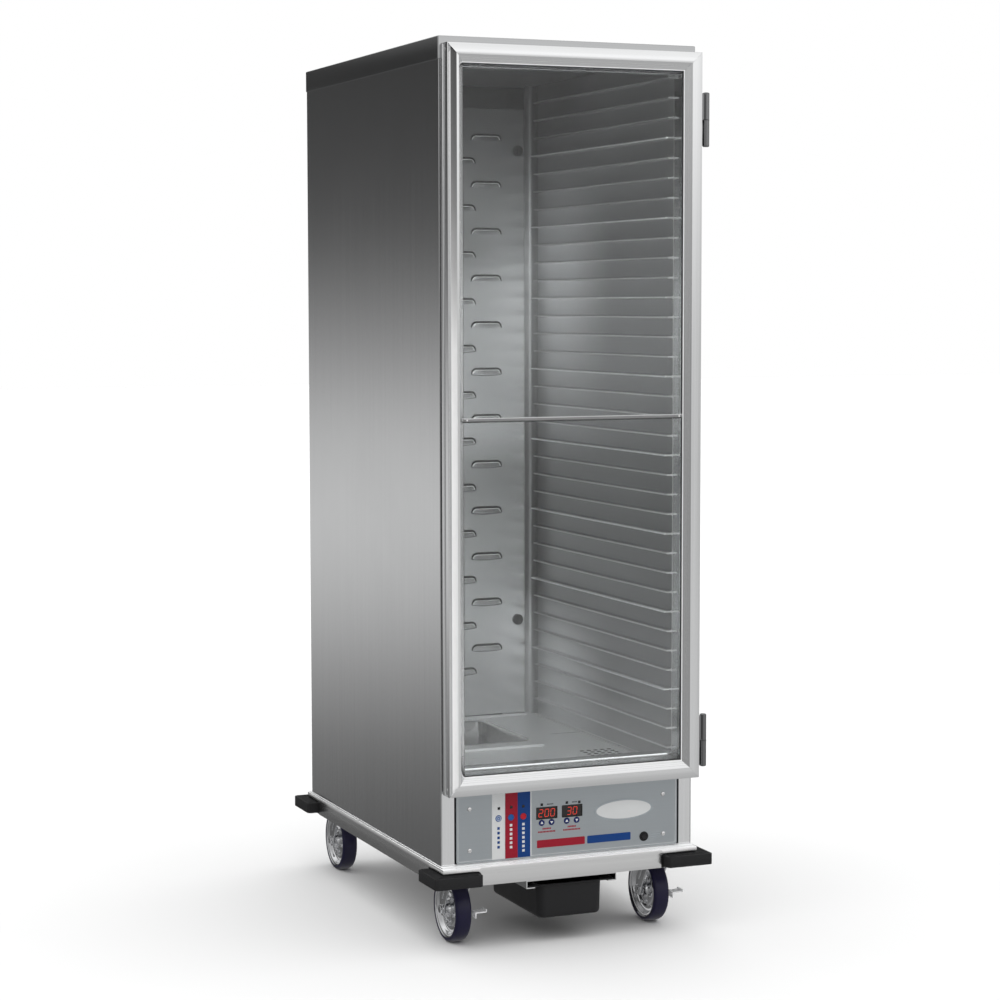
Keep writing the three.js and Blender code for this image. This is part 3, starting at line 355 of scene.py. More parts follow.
def plastic(name, colour, roughness, bump, scale, tone, specular, dust):
    """Moulded or printed face: fine texture, uneven sheen, sometimes a little dust."""
    material, sh = new_material(name)
    fine = sh.noise(scale, detail=3.0, roughness=0.6)
    broad = sh.noise(14.0, detail=4.0, roughness=0.6)
    base = sh.mix(broad, *toned(colour, tone))
    if dust:
        specks = sh.ramp(fine, [(0.45, 0.0), (0.75, 1.0)])
        base = sh.mix(sh.multiply(specks, dust), base, (0.4, 0.39, 0.37))
    rough = sh.add(sh.multiply(sh.subtract(broad, 0.5), 0.22), roughness, clamp=True)
    surface = sh.node("BsdfPrincipled", {
        "Base Color": base, "Metallic": 0.0, "Roughness": rough,
        "Normal": sh.bump(fine, strength=bump, distance=0.0003), "Specular IOR Level": specular})
    sh.node("OutputMaterial", {0: surface.outputs[0]})
    return material


def glowing(name, colour, strength):
    material, sh = new_material(name)
    base = sh.mix(sh.noise(1200.0), tuple(c * 0.85 for c in colour), colour)
    surface = sh.node("BsdfPrincipled", {"Base Color": base, "Roughness": 0.35,
                                         "Emission Color": base, "Emission Strength": strength})
    sh.node("OutputMaterial", {0: surface.outputs[0]})
    return material


def clear(name):
    """Clear sheet: straight through, with a Fresnel sheen and faint wiping marks."""
    material, sh = new_material(name)
    wipes = sh.noise(38.0, (1, 1, 0.25), detail=4.0, roughness=0.6)
    hairs = sh.ramp(sh.noise(190.0, (1, 1, 0.04), detail=1.0, roughness=0.4),
                    [(0.0, 0.0), (0.72, 0.0), (0.74, 1.0), (0.76, 0.0), (1.0, 0.0)])
    normal = sh.bump(wipes, strength=0.02, distance=0.0005)
    fresnel = sh.node("Fresnel", {"IOR": 1.5, "Normal": normal}).outputs[0]
    rough = sh.add(0.03, sh.multiply(wipes, 0.05))
    through = sh.node("BsdfTransparent", {"Color": (0.955, 0.965, 0.965, 1)})
    sheen = sh.node("BsdfGlossy", {"Color": (1, 1, 1, 1), "Roughness": rough, "Normal": normal})
    share = sh.add(sh.multiply(fresnel, 0.9), sh.multiply(hairs, 0.015), clamp=True)
    sh.node("OutputMaterial", {0: sh.mix_shader(share, through, sheen).outputs[0]})
    return material


MATERIALS = {name: metal(name, *values) for name, values in METALS.items()}
MATERIALS.update({name: plastic(name, *values) for name, values in PLASTICS.items()})
MATERIALS["clear_sheet"] = clear("clear_sheet")
MATERIALS["digit_red"] = glowing("digit_red", colour=(0.62, 0.035, 0.015), strength=0.55)


# ------------------------------------------------------------------ mesh building (millimetres)
class Piece:
    """Collects closed shells and makes one object of them."""

    def __init__(self):
        self.mesh = bmesh.new()

    def shell(self, points, faces, bevel=0.0, segments=2, angle=30.0):
        """Adds a closed shell; edges sharper than `angle` are rounded by `bevel`."""
        part = bmesh.new()
        verts = [part.verts.new(point) for point in points]
        for face in faces:
            # guards against a repeated face or corner
            try:
                part.faces.new([verts[i] for i in face])
            except ValueError:
                pass
        bmesh.ops.recalc_face_normals(part, faces=part.faces[:])
        if bevel:
            edges = [e for e in part.edges
                     if len(e.link_faces) == 2 and e.calc_face_angle(0) > math.radians(angle)]
            bmesh.ops.bevel(part, geom=edges, offset=bevel, offset_type="OFFSET",
                            segments=segments, profile=0.5, affect="EDGES", clamp_overlap=True)
        data = bpy.data.meshes.new("tmp")
        part.to_mesh(data)
        part.free()
        self.mesh.from_mesh(data)
        bpy.data.meshes.remove(data)
        return self

    def box(self, x0, x1, y0, y1, z0, z1, bevel=0.5, segments=2):
        points = [(x, y, z) for x in (x0, x1) for y in (y0, y1) for z in (z0, z1)]
        faces = [(0, 1, 3, 2), (4, 6, 7, 5), (0, 4, 5, 1), (2, 3, 7, 6), (0, 2, 6, 4), (1, 5, 7, 3)]
        return self.shell(points, faces, bevel, segments)

    def prism(self, axis, outline, start, end, bevel=0.0, segments=2, angle=30.0):
        """Outline in the two other axes (in x, y, z order), run along `axis`."""
        n = len(outline)
        put = {"z": lambda u, v, w: (u, v, w), "x": lambda u, v, w: (w, u, v),
               "y": lambda u, v, w: (u, w, v)}[axis]
        points = [put(u, v, w) for w in (start, end) for u, v in outline]
        faces = [tuple(range(n)), tuple(range(n, 2 * n))]
        faces += [(i, (i + 1) % n, n + (i + 1) % n, n + i) for i in range(n)]
        return self.shell(points, faces, bevel, segments, angle)

    def loft(self, rings, closed=False):
        """Skin over equal rings; `closed` joins the last to the first, else the ends are capped."""
        n, count = len(rings[0]), len(rings)
        faces = []
        for k in range(count if closed else count - 1):
            a, b = k * n, (k + 1) % count * n
            faces += [(a + i, a + (i + 1) % n, b + (i + 1) % n, b + i) for i in range(n)]
        if not closed:
            faces += [tuple(range(n)), tuple(range((count - 1) * n, count * n))]
        return self.shell([point for ring in rings for point in ring], faces)

    def turn(self, axis, profile, p, q, segments=40, closed=False, start=0.0):
        """Turned about `axis` through (p, q); profile of (radius, position along the axis)."""
        rings = []
        for radius, along in profile:
            ring = []
            for i in range(segments):
                t = start + 2 * math.pi * i / segments
                u, v = p + radius * math.cos(t), q + radius * math.sin(t)
                ring.append({"x": (along, u, v), "y": (u, along, v), "z": (u, v, along)}[axis])
            rings.append(ring)
        return self.loft(rings, closed)

    def rod(self, axis, r, start, end, p, q, segments, edge):
        """Round rod with its ends eased by `edge`."""
        step = edge if end > start else -edge
        return self.turn(axis, [(r - edge, start), (r - edge * 0.3, start + step * 0.3),
                                (r, start + step), (r, end - step),
                                (r - edge * 0.3, end - step * 0.3), (r - edge, end)],
                         p, q, segments)

    def dome(self, axis, r, base, top, p, q, segments):
        """Low domed head standing from `base` to `top`."""
        shape = ((1, 0), (1, 0.25), (0.93, 0.6), (0.75, 0.85), (0.45, 0.97), (0.08, 1))
        profile = [(r * share, base + (top - base) * rise) for share, rise in shape]
        return self.turn(axis, profile, p, q, segments)

    def tube(self, path, radius, segments):
        path = [Vector(point) for point in path]
        rings = []
        up = None
        for i, point in enumerate(path):
            ahead = (path[min(i + 1, len(path) - 1)] - path[max(i - 1, 0)]).normalized()
            if up is None:
                up = ahead.orthogonal().normalized()
            up = (up - ahead * up.dot(ahead)).normalized()
            side = ahead.cross(up)
            turns = [2 * math.pi * k / segments for k in range(segments)]
            rings.append([tuple(point + (up * math.cos(t) + side * math.sin(t)) * radius)
                          for t in turns])
        return self.loft(rings)

    def make(self, name, material, body="root", replaces=None, slot=None, angle=32.0):
        bmesh.ops.remove_doubles(self.mesh, verts=self.mesh.verts[:], dist=1e-4)
        for vert in self.mesh.verts:
            vert.co *= MM
        data = bpy.data.meshes.new(name)
        self.mesh.to_mesh(data)
        self.mesh.free()
        for polygon in data.polygons:
            polygon.use_smooth = True
        data.set_sharp_from_angle(angle=math.radians(angle))
        data.materials.append(MATERIALS[material])
        slot = slot or (SLOT_OF[replaces] if replaces else material)
        register(place(name, data), body, replaces)


def arc(u, v, radius, degrees):
    return [(u + radius * math.cos(math.radians(a)), v + radius * math.sin(math.radians(a)))
            for a in degrees]


def rounded_rect(x0, x1, y0, y1, r, steps, z=None):
    points = []
    for u, v, first in ((x1 - r, y1 - r, 0), (x0 + r, y1 - r, 90), (x0 + r, y0 + r, 180),
                        (x1 - r, y0 + r, 270)):
        points += arc(u, v, r, [first + 90 * i / steps for i in range(steps + 1)])
    return points if z is None else [(x, y, z) for x, y in points]


def nested_rings(x0, x1, y0, y1, steps, stations):
    """Level rounded rings; stations are (inset, corner radius, z)."""
    return [rounded_rect(x0 + inset, x1 - inset, y0 + inset, y1 - inset, r, steps, z)
            for inset, r, z in stations]


def upright_ring(x0, x1, z0, z1, steps, inset, r, y):
    """Rounded ring standing in a plane of constant y."""
    outline = rounded_rect(x0 + inset, x1 - inset, z0 + inset, z1 - inset, r, steps)
    return [(x, y, z) for x, z in outline]


def span(sign, a, b):
    return sorted((sign * a, sign * b))


# ------------------------------------------------------------------ door
latch_stile = box("door_stile_latch")
DOOR = Box(latch_stile.x0, box("door_stile_hinge").x1, latch_stile.y0, latch_stile.y1,
           box("door_rail_bottom").z0, box("door_rail_top").z1)
DOOR_DEPTH = DOOR.y1 - DOOR.y0
PULL_WIDTH, RAIL_WIDTH = 33.0, 35.0
WINDOW = (DOOR.x0 + PULL_WIDTH, DOOR.x1 - RAIL_WIDTH, DOOR.z0 + RAIL_WIDTH, DOOR.z1 - RAIL_WIDTH)
MITRE_GAP = 0.12


def grooved_line(u0, v0, u1, v1, width=1.0, depth=0.4):
    """Straight flank with three shallow grooves."""
    points = [(u0, v0)]
    length = math.hypot(u1 - u0, v1 - v0)
    normal_u, normal_v = -(v1 - v0) / length, (u1 - u0) / length
    for centre in (0.25, 0.5, 0.75):
        for offset, sink in ((-0.5, 0), (-0.2, depth), (0.2, depth), (0.5, 0)):
            t = centre + offset * width / length
            points.append((u0 + (u1 - u0) * t + normal_u * sink,
                           v0 + (v1 - v0) * t + normal_v * sink))
    return points + [(u1, v1)]


# door sections: (inward from the outer edge, back from the door's front)
RAIL_SECTION = [
    (0, 1.0), (0.3, 0.3), (1.0, 0), (20.0, 0), (20.7, 0.18), (21.2, 0.7),
    *grooved_line(21.6, 0.95, 34.6, 8.35),
    (35, 8.9), (35, 11.7), (29, 11.7), (29, 16.8), (35, 16.8), (35, 19.4), (34.6, 20.4),
    (28.4, DOOR_DEPTH - 0.4), (27.6, DOOR_DEPTH), (0.8, DOOR_DEPTH), (0, DOOR_DEPTH - 0.8)]


def grip_ribs():
    """Floor of the pull channel: every second of 13 stations is a small notch."""
    points = []
    for k in range(13):
        u = 3.6 + k * 1.0
        v = 3.3 + 1.5 * math.sin(math.pi * k / 12)
        notch = [(u - 0.25, v), (u - 0.1, v - 0.32), (u + 0.1, v - 0.32), (u + 0.25, v)]
        points += notch if k % 2 == 0 else [(u, v)]
    return points


PULL_SECTION = [
    (0, 1.0), (0.3, 0.3), (0.9, 0), (1.5, 0.1), (2.0, 0.6), (3.2, 3.0), *grip_ribs(),
    (16.5, 3.0), (18.1, 0.5), (18.6, 0.08), (19.2, 0), (22.4, 0), (23.0, 0.12), (23.5, 0.5),
    (32.6, 7.3), (33, 7.9), (33, 11.7), (29, 11.7), (29, 16.8), (33, 16.8), (33, 19.4),
    (32.6, 20.4), (28.4, DOOR_DEPTH - 0.4), (27.6, DOOR_DEPTH), (0.8, DOOR_DEPTH),
    (0, DOOR_DEPTH - 0.8), (0, 26.4), (0.4, 25.6), (2.1, 25.2), (2.5, 24.6), (2.5, 20.6),
    (2.2, 20.3), (2.2, 19.9), (2.5, 19.6), (2.5, 14.6), (2.2, 14.3), (2.2, 13.9), (2.5, 13.6),
    (2.5, 9.6), (2.1, 9.0), (0.4, 8.5), (0, 7.8)]


def door_member(section, side):
    """Section run along one side of the door, mitred at both ends."""
    rings = []
    for t in (0, 1):
        ring = []
        for u, v in section:
            cut = 2 * u + 2 * MITRE_GAP
            if side in ("top", "bottom"):
                x = DOOR.x0 + u + MITRE_GAP + t * (DOOR.x1 - DOOR.x0 - cut)
                z = DOOR.z1 - u if side == "top" else DOOR.z0 + u
            else:
                x = DOOR.x0 + u if side == "left" else DOOR.x1 - u
                z = DOOR.z0 + u + MITRE_GAP + t * (DOOR.z1 - DOOR.z0 - cut)
            ring.append((x, DOOR.y0 + v, z))
        rings.append(ring)
    return Piece().loft(rings)


for name, material, section, side, node in (
        ("door_pull_stile", "pull_extrusion", PULL_SECTION, "left", "door_stile_latch"),
        ("door_hinge_stile", "bright_extrusion", RAIL_SECTION, "right", "door_stile_hinge"),
        ("door_head_rail", "rail_extrusion", RAIL_SECTION, "top", "door_rail_top"),
        ("door_foot_rail", "rail_extrusion", RAIL_SECTION, "bottom", "door_rail_bottom")):
    slot = "bright_extrusion" if side == "left" else None
    door_member(section, side).make(name, material, "door", node, slot, angle=24)


def window_loop(stations):
    """Frame round the window; stations are (inset, back from the door's front)."""
    x0, x1, z0, z1 = WINDOW
    rings = []
    for inset, v in stations:
        a, b, c, d, y = x0 + inset, x1 - inset, z0 + inset, z1 - inset, DOOR.y0 + v
        rings.append([(a, y, c), (b, y, c), (b, y, d), (a, y, d)])
    return Piece().loft(rings, closed=True)


window_loop([(0, 10.4), (0.6, 9.9), (1.7, 10.5), (2.0, 11.8), (0, 11.8)]).make(
    "door_glazing_seal", "gasket_rubber", "door")
# rolled lip in white, a painted highlight: half round, centred 1 mm outside the opening
window_loop([(-1.0 - 1.25 * math.cos(math.pi * k / 8), 8.9 - 1.2 * math.sin(math.pi * k / 8))
             for k in range(9)]).make("door_window_lip", "lip_highlight", "door",
                                      slot="bright_extrusion")


def cross_bar():
    bar = box("door_mid_bar")
    middle = (bar.z0 + bar.z1) / 2
    front = bar.y0
    section = [(bar.y1 - 0.05, bar.z0 + 0.3), (front + 0.5, bar.z0), (front, bar.z0 + 0.5)]
    for offset in (-1.4, 1.4):    # two drawn grooves
        z = middle + offset
        section += [(front, z - 0.5), (front + 0.45, z - 0.2), (front + 0.45, z + 0.2),
                    (front, z + 0.5)]
    section += [(front, bar.z1 - 0.5), (front + 0.5, bar.z1), (bar.y1 - 0.05, bar.z1 - 0.3)]
    Piece().prism("x", section, bar.x0, bar.x1).make(
        "door_cross_bar", "mid_bar_skin", "door", "door_mid_bar", slot="bright_extrusion")
    rivets = Piece()
    for x in (bar.x0 + 7, bar.x1 - 7):
        rivets.dome("y", 2.0, front + 0.1, front - 0.9, x, middle, 16)
    rivets.make("door_cross_bar_rivets", "screw_steel", "door", slot="bright_extrusion")


def door_fasteners():
    rivets = Piece()
    for z in (DOOR.z0 + 11.5, DOOR.z1 - 11.5):
        rivets.dome("x", 2.6, DOOR.x0 + 2.7, DOOR.x0 + 1.2, DOOR.y0 + 17, z, 18)
        rivets.dome("x", 2.6, DOOR.x1 - 0.2, DOOR.x1 + 1.3, DOOR.y0 + 17, z, 18)
    rivets.make("door_corner_rivets", "screw_steel", "door", slot="bright_extrusion")
    screws = Piece()
    for x in (DOOR.x0 + 13, DOOR.x1 - 13):
        for z in (DOOR.z0 + 13, DOOR.z1 - 13):
            screws.rod("y", 3.1, DOOR.y1 - 0.3, DOOR.y1 + 0.7, x, z, 20, 0.35)
    screws.make("door_back_screws", "screw_steel", "door", slot="bright_extrusion")


def hinge_details(where):
    """Screws and turned caps on the CAD hinge leaves."""
    leaf = box("hinge_%s_leaf_frame" % where)
    top = box("hinge_%s_leaf_door" % where).z1
    pin = joint_xy(JOINTS["door_hinge"])
    screws = Piece()
    for k in range(3):
        # the middle row has only the rear screw
        for inset in (12,) if k == 1 else (12, 34):
            screws.dome("x", 3.6, 263.3, 265.2, leaf.y1 - inset, leaf.z0 + 9 + k * 16.5, 18)
    screws.make("hinge_%s_screws" % where, "screw_steel", slot="stainless")
    Piece().turn("z", [(5.3, top - 0.4), (6.35, top + 0.1), (6.35, top + 1.1), (5.0, top + 2.2),
                       (2.0, top + 2.8), (0.2, top + 2.9)], *pin, 28).make(
        "hinge_%s_cap" % where, "hinge_steel", "door", slot="stainless")
    foot = Piece()
    split = leaf.z0 + 48.8
    foot.turn("z", [(6.62, split - 1.0), (6.75, split - 0.6), (6.75, split - 0.2),
                    (6.2, split + 0.05), (3.4, split + 0.05), (3.4, split - 1.0)],
              *pin, 28, closed=True)
    low = leaf.z0
    foot.turn("z", [(5.3, low + 0.4), (6.35, low - 0.1), (6.35, low - 1.1), (5.0, low - 2.2),
                    (0.2, low - 2.5)], *pin, 28)
    foot.make("hinge_%s_foot" % where, "hinge_steel", slot="stainless")


cross_bar()
door_fasteners()
hinge_details("lower")
hinge_details("upper")

# ------------------------------------------------------------------ top cap and back
BACK = box("back_panel")
BACK_Y = BACK.y1


def top_cap():
    cap = box("top_cap")
    low, top, sheet = cap.z0, cap.z1, 1.4
    # up the inside, over the lower edge, up the outside
    stations = [(3.0, 1.0, top - sheet), (sheet, 1.2, top - 3.0), (sheet, 1.2, low + 0.3),
                (0.8, 1.8, low), (0, 2.4, low + 0.4), (0, 2.4, top - 2.0), (0.35, 2.2, top - 1.1),
                (1.0, 1.8, top - 0.4), (2.0, 1.2, top)]
    rings = nested_rings(-cap.x1, cap.x1, -cap.y1, cap.y1, 4, stations)
    Piece().loft(rings).make("cap_sheet", "cap_skin", replaces="top_cap", angle=40)
    rivets = Piece()
    for x in (-210, -70, 70, 210):
        rivets.dome("y", 2.7, cap.y1 - 0.1, cap.y1 + 1.1, x, low + 12, 16)
    rivets.make("cap_rear_rivets", "screw_steel", slot="brushed_sheet")


def back_details():
    screws = Piece()
    for z in (240, 520, 800, 1080, 1360, 1620):
        for side in (-1, 1):
            screws.dome("y", 3.4, BACK_Y + 1.35, BACK_Y + 3.0, side * 250.5, z, 18)
    for x in (-150, 0, 150):
        for z in (BACK.z1 - 50, 305):
            screws.dome("y", 3.0, BACK_Y - 0.1, BACK_Y + 1.5, x, z, 18)
    screws.make("back_screws", "screw_steel", slot="brushed_sheet")
    # (radius, behind the back panel)
    grommet = ((5.2, -3.4), (8.6, -3.4), (8.6, 0.2), (12.0, 0.3), (12.6, 1.2), (11.6, 3.0),
               (8.0, 4.6), (5.2, 5.0))
    Piece().turn("y", [(r, BACK_Y + y) for r, y in grommet], 60, 235, 28, closed=True).make(
        "cord_grommet", "black_plastic")
    # louvre hood section: (behind the back panel, above the hood's middle)
    hood = ((-0.2, 1.6), (2.6, 0.2), (3.6, -1.6), (2.9, -1.8), (2.0, -0.4), (-0.2, 0.6))
    hoods = Piece()
    for i in range(5):
        hoods.prism("x", [(BACK_Y + y, 187 + i * 14 + z) for y, z in hood], -191, -109, 0.25, 1)
    hoods.make("back_vent_hoods", "brushed_sheet")


top_cap()
back_details()

# ------------------------------------------------------------------ base frame and bumpers
BASE = box("base_frame")
BASE_X, BASE_Y = BASE.x1, BASE.y1
front_pad = box("bumper_front_left")
PAD_ARM = BASE_X + front_pad.x1          # length of a bumper arm along the frame
REBATE_TOP = front_pad.z1 + 3.2
REBATE_ROUND = 7                         # radius of the rebate's free upper corner


def base_ring(half_x, half_y, z, notch=0.0, shift=0.0, corner=0.8):
    """Plan outline rebated by `notch` at each corner; shift moves the rebate's ends cornerwards."""
    step = 0.02 if notch == 0 else 0.0    # keeps points apart where there is no rebate
    end_x, end_y = BASE_X - PAD_ARM - 3.4 + shift, BASE_Y - PAD_ARM - 3.4 + shift
    x, y = half_x - notch - step, half_y - notch - step
    quarter = [(half_x, end_y), (x, end_y + step), (x, y - corner),
               (x - corner * 0.3, y - corner * 0.3), (x - corner, y), (end_x + step, y),
               (end_x, half_y)]
    ring = []
    for side, depth in ((1, 1), (-1, 1), (-1, -1), (1, -1)):
        points = quarter if side * depth > 0 else quarter[::-1]
        ring += [(side * px, depth * py, z) for px, py in points]
    return ring


def base_shell():
    low = BASE.z0
    rings = [base_ring(BASE_X - inset, BASE_Y - inset, z, notch) for inset, z, notch in (
        (6, low + 3, 0), (6, low + 0.01, 0), (1.0, low, 2.0), (0.2, low + 0.3, 2.8),
        (0, low + 1.1, 3.0))]
    for degrees in (0, 20, 40, 60, 80, 90):
        a = math.radians(degrees)
        rings.append(base_ring(BASE_X, BASE_Y, REBATE_TOP - REBATE_ROUND
                               + REBATE_ROUND * math.sin(a), 3.0,
                               REBATE_ROUND * (1 - math.cos(a))))
    rings.append(base_ring(BASE_X, BASE_Y, REBATE_TOP + 0.02, 0.0, REBATE_ROUND))
    # stepped upper lip: (half width, half depth, z)
    for half_x, half_y, z in (
            (BASE_X, BASE_Y, 160.6), (BASE_X - 0.35, BASE_Y - 0.35, 161.5),
            (BASE_X - 1.2, BASE_Y - 1.2, 162.0), (263.0, BASE_Y - 8.2, 162.0),
            (262.7, BASE_Y - 9.0, 162.5), (262.7, BASE_Y - 9.0, 163.9),
            (262.3, BASE_Y - 9.5, 164.5), (261.4, BASE_Y - 10.4, 164.7)):
        rings.append(base_ring(half_x, half_y, z))
    Piece().loft(rings).make("base_frame_shell", "base_aluminium", replaces="base_frame", angle=28)


def caster_plates():
    plates = Piece()
    for name, joint in JOINTS.items():
        if not name.endswith("swivel_turn"):
            continue
        x, y = joint_xy(joint)
        plates.box(x - 47, x + 47, y - 47, y + 47, 145.5, 154.6, 1.0)
        for bolt_x in (x - 36, x + 36):
            for bolt_y in (y - 36, y + 36):
                plates.turn("z", [(6.5, 146), (6.5, 141.6), (5.6, 140.8), (0.3, 140.6)],
                            bolt_x, bolt_y, 6)
                plates.turn("z", [(8.4, 145.9), (8.4, 144.6), (7.8, 144.3), (0.3, 144.3)],
                            bolt_x, bolt_y, 24)
    plates.make("caster_plates", "zinc_plate")


def seat_outline(sign, edge, corner=6.5):
    """(along the frame, z) with the free upper corner rounded."""
    free, low, top = edge - PAD_ARM - 3.0, BASE.z0 + 0.6, REBATE_TOP - 0.4
    points = [(edge - 3.2, low), (edge - 3.2, top)]
    for degrees in (0, 22.5, 45, 67.5, 90):
        a = math.radians(degrees)
        points.append((free + corner * (1 - math.sin(a)), top - corner * (1 - math.cos(a))))
    return [(sign * u, z) for u, z in points + [(free, low)]]


def bumper_seats():
    """Black strips behind the bumpers, seen as a dark gap round each pad."""
    seats = Piece()
    for side in (-1, 1):
        for depth in (-1, 1):
            seats.prism("y", seat_outline(side, BASE_X),
                        *span(depth, BASE_Y - 3.1, BASE_Y - 1.0), 0.3, 1, 30)
            seats.prism("x", seat_outline(depth, BASE_Y),
                        *span(side, BASE_X - 3.1, BASE_X - 1.0), 0.3, 1, 30)
    seats.make("bumper_seats", "black_plastic", slot="bumper_rubber")


def bumper(name, side, depth):
    """Moulded corner pad with five raised ribs on top."""
    pad = box(name)
    outer_x, outer_y = max(abs(pad.x0), abs(pad.x1)), max(abs(pad.y0), abs(pad.y1))
    end_x, end_y = min(abs(pad.x0), abs(pad.x1)), min(abs(pad.y0), abs(pad.y1))
    back_x, back_y = BASE_X - 2.7, BASE_Y - 2.7
    outline = [(end_x, back_y), (end_x, outer_y - 8), (end_x + 1.2, outer_y - 4.5),
               (end_x + 5.5, outer_y - 0.4), (end_x + 8, outer_y), (outer_x - 6, outer_y),
               (outer_x - 2, outer_y - 2), (outer_x, outer_y - 6), (outer_x, end_y + 8),
               (outer_x - 0.4, end_y + 5.5), (outer_x - 4.5, end_y + 1.2), (outer_x - 8, end_y),
               (back_x, end_y), (back_x, back_y)]
    piece = Piece()
    piece.prism("z", [(side * x, depth * y) for x, y in outline], pad.z0, pad.z1, 1.1, 3, 20)
    for k in range(5):
        x, y = outer_x - (5.0 + k * 3.4), outer_y - (5.0 + k * 3.4)
        rib = [(end_x + 7, y), (x, y), (x, end_y + 7), (x - 1.5, end_y + 7), (x - 1.5, y - 1.5),
               (end_x + 7, y - 1.5)]
        piece.prism("z", [(side * u, depth * v) for u, v in rib],
                    pad.z1 - 0.3, pad.z1 + 0.55, 0.25, 1, 20)
    piece.make(name + "_pad", "bumper_rubber", replaces=name, angle=30)


base_shell()
caster_plates()
bumper_seats()
for depth_name, depth in (("front", -1), ("rear", 1)):
    for side_name, side in (("left", -1), ("right", 1)):
        bumper("bumper_%s_%s" % (depth_name, side_name), side, depth)


# ------------------------------------------------------------------ drip pan
def drip_pan():
    pan = box("drip_pan")
    low, top = pan.z0, pan.z1
    # (half width, inset in y, corner radius, z): up the outside, over the rim, down the inside
    stations = [(59, 13, 10, low), (63, 9.0, 13, low + 1.0), (65.2, 6.8, 15, low + 3.6),
                (66, 6, 15.5, low + 8), (67.2, 4.8, 16, top - 4.6), (68.5, 3.4, 16, top - 2.6),
                (88.5, 1.0, 5, top - 2.6), (90, 0, 5.5, top - 2.0), (90, 0, 5.5, top - 0.6),
                (88.8, 1.2, 5, top), (68, 4.2, 16, top), (65.2, 7.4, 14, top - 1.6),
                (63.4, 8.8, 13, low + 9), (61, 11, 11, low + 3.4)]
    Piece().loft([rounded_rect(-half, half, pan.y0 + inset, pan.y1 - inset, r, 5, z)
                  for half, inset, r, z in stations]).make(
        "drip_pan_tray", "black_plastic", "drip_pan", "drip_pan", angle=30)
    hanger_top = box("drip_pan_hanger").z1
    rivets = Piece()
    for side in (-1, 1):
        for y in (pan.y0 + 25, pan.y1 - 25):
            rivets.dome("z", 3.5, hanger_top - 2.0, hanger_top - 4.0, side * 84, y, 16)
    rivets.make("drip_hanger_rivets", "screw_steel", slot="brushed_sheet")


drip_pan()

# ------------------------------------------------------------------ slide racks
SLIDE_PITCH, LOWEST_SLIDE, SLIDE_COUNT = 38.1, 352.0, 35
WALL = 236.0                     # inner face of the slide wall, from the middle
RACK_SHEET = 1.6
WALL_BACK = WALL + RACK_SHEET
SLIDE_NOSE, BROAD_NOSE = 223.0, 217.5
SLIDE_END = 300.0                # y where the slides stop


def slide_section(z, broad):
    """One slide from its top root to its lower root: (from the middle, z)."""
    nose = BROAD_NOSE if broad else SLIDE_NOSE
    points = [(WALL, z + 3.4), (WALL - 0.35, z + 1.9), (WALL - 1.1, z + 0.75),
              (WALL - 2.6, z + 0.12), (WALL - 4.0, z),
              (nose + 1.9, z), (nose + 1.1, z - 0.12), (nose + 0.45, z - 0.5),
              (nose + 0.06, z - 1.15), (nose + 0.06, z - 2.0), (nose + 0.5, z - 2.75),
              (nose + 1.3, z - 3.1)]
    if broad:
        # drawn hatch along the underside
        start, end, count = nose + 2.4, WALL - 5.0, 5
        for k in range(count):
            x = start + (end - start) * k / count
            points += [(x, z - 3.0), (x + 0.9, z - 2.5), (x + 1.8, z - 2.5)]
    return points + [(WALL - 4.2, z - 3.0), (WALL - 2.4, z - 3.2), (WALL - 1.0, z - 3.9),
                     (WALL - 0.3, z - 5.0), (WALL, z - 6.5)]


def slide_bank(name, side):
    rack = box("slide_rack_" + name)
    low, top, front = rack.z0, rack.z1, rack.y0
    section = [(WALL_BACK, low), (WALL_BACK, top), (WALL, top)]
    for i in range(SLIDE_COUNT):
        z = LOWEST_SLIDE + (SLIDE_COUNT - 1 - i) * SLIDE_PITCH
        section += slide_section(z, broad=i % 4 == 3)
    section += [(WALL, low + 3.6), (WALL - 0.5, low + 2.2), (WALL - 1.8, low + 1.6),
                (WALL - 8, low + 1.6), (WALL - 8, low)]
    bank = Piece().prism("y", [(side * x, z) for x, z in section], front, SLIDE_END)
    bank.box(*span(side, WALL, WALL_BACK), SLIDE_END - 2, 327.6, low, top, 0.0)
    bank.box(*span(side, 213.5, WALL_BACK), 326, 327.6, low, top, 0.3)
    # front return, rolled outwards: (from the middle, y)
    flange = [(WALL - 0.2, front + 2.6), (WALL + 0.1, front + 1.0), (WALL + 1.2, front),
              (259.0, front), (259.0, front + 1.6), (WALL + 1.8, front + 1.6),
              (WALL + 1.4, front + 2.8)]
    bank.prism("z", [(side * x, y) for x, y in flange], low, top)
    bank.make("slide_bank_" + name, "rack_sheet", replaces="slide_rack_" + name, angle=26)
    # coved strip in the corner between the slide wall and the duct
    radius, back = 15.0, 325.6
    centre = WALL - radius - 0.4, back - radius
    turns = range(0, 91, 10)
    inner = [(WALL - 0.4, centre[1] - 6), *arc(*centre, radius, turns), (213.8, back)]
    outer = [(WALL + 0.6, centre[1] - 6), *arc(*centre, radius + 1.0, turns), (213.8, back + 1)]
    Piece().prism("z", [(side * x, y) for x, y in inner + outer[::-1]], low + 1.7, top - 0.5).make(
        "corner_cove_" + name, "cove_sheet", slot="brushed_sheet")


slide_bank("left", -1)
slide_bank("right", 1)

# ------------------------------------------------------------------ air duct with lanced louvres
DUCT = box("air_duct_panel")
DUCT_X, DUCT_Y, DUCT_TOP = DUCT.x1, DUCT.y0, DUCT.z1
DUCT_SHEET, DUCT_BEND = 1.2, 3
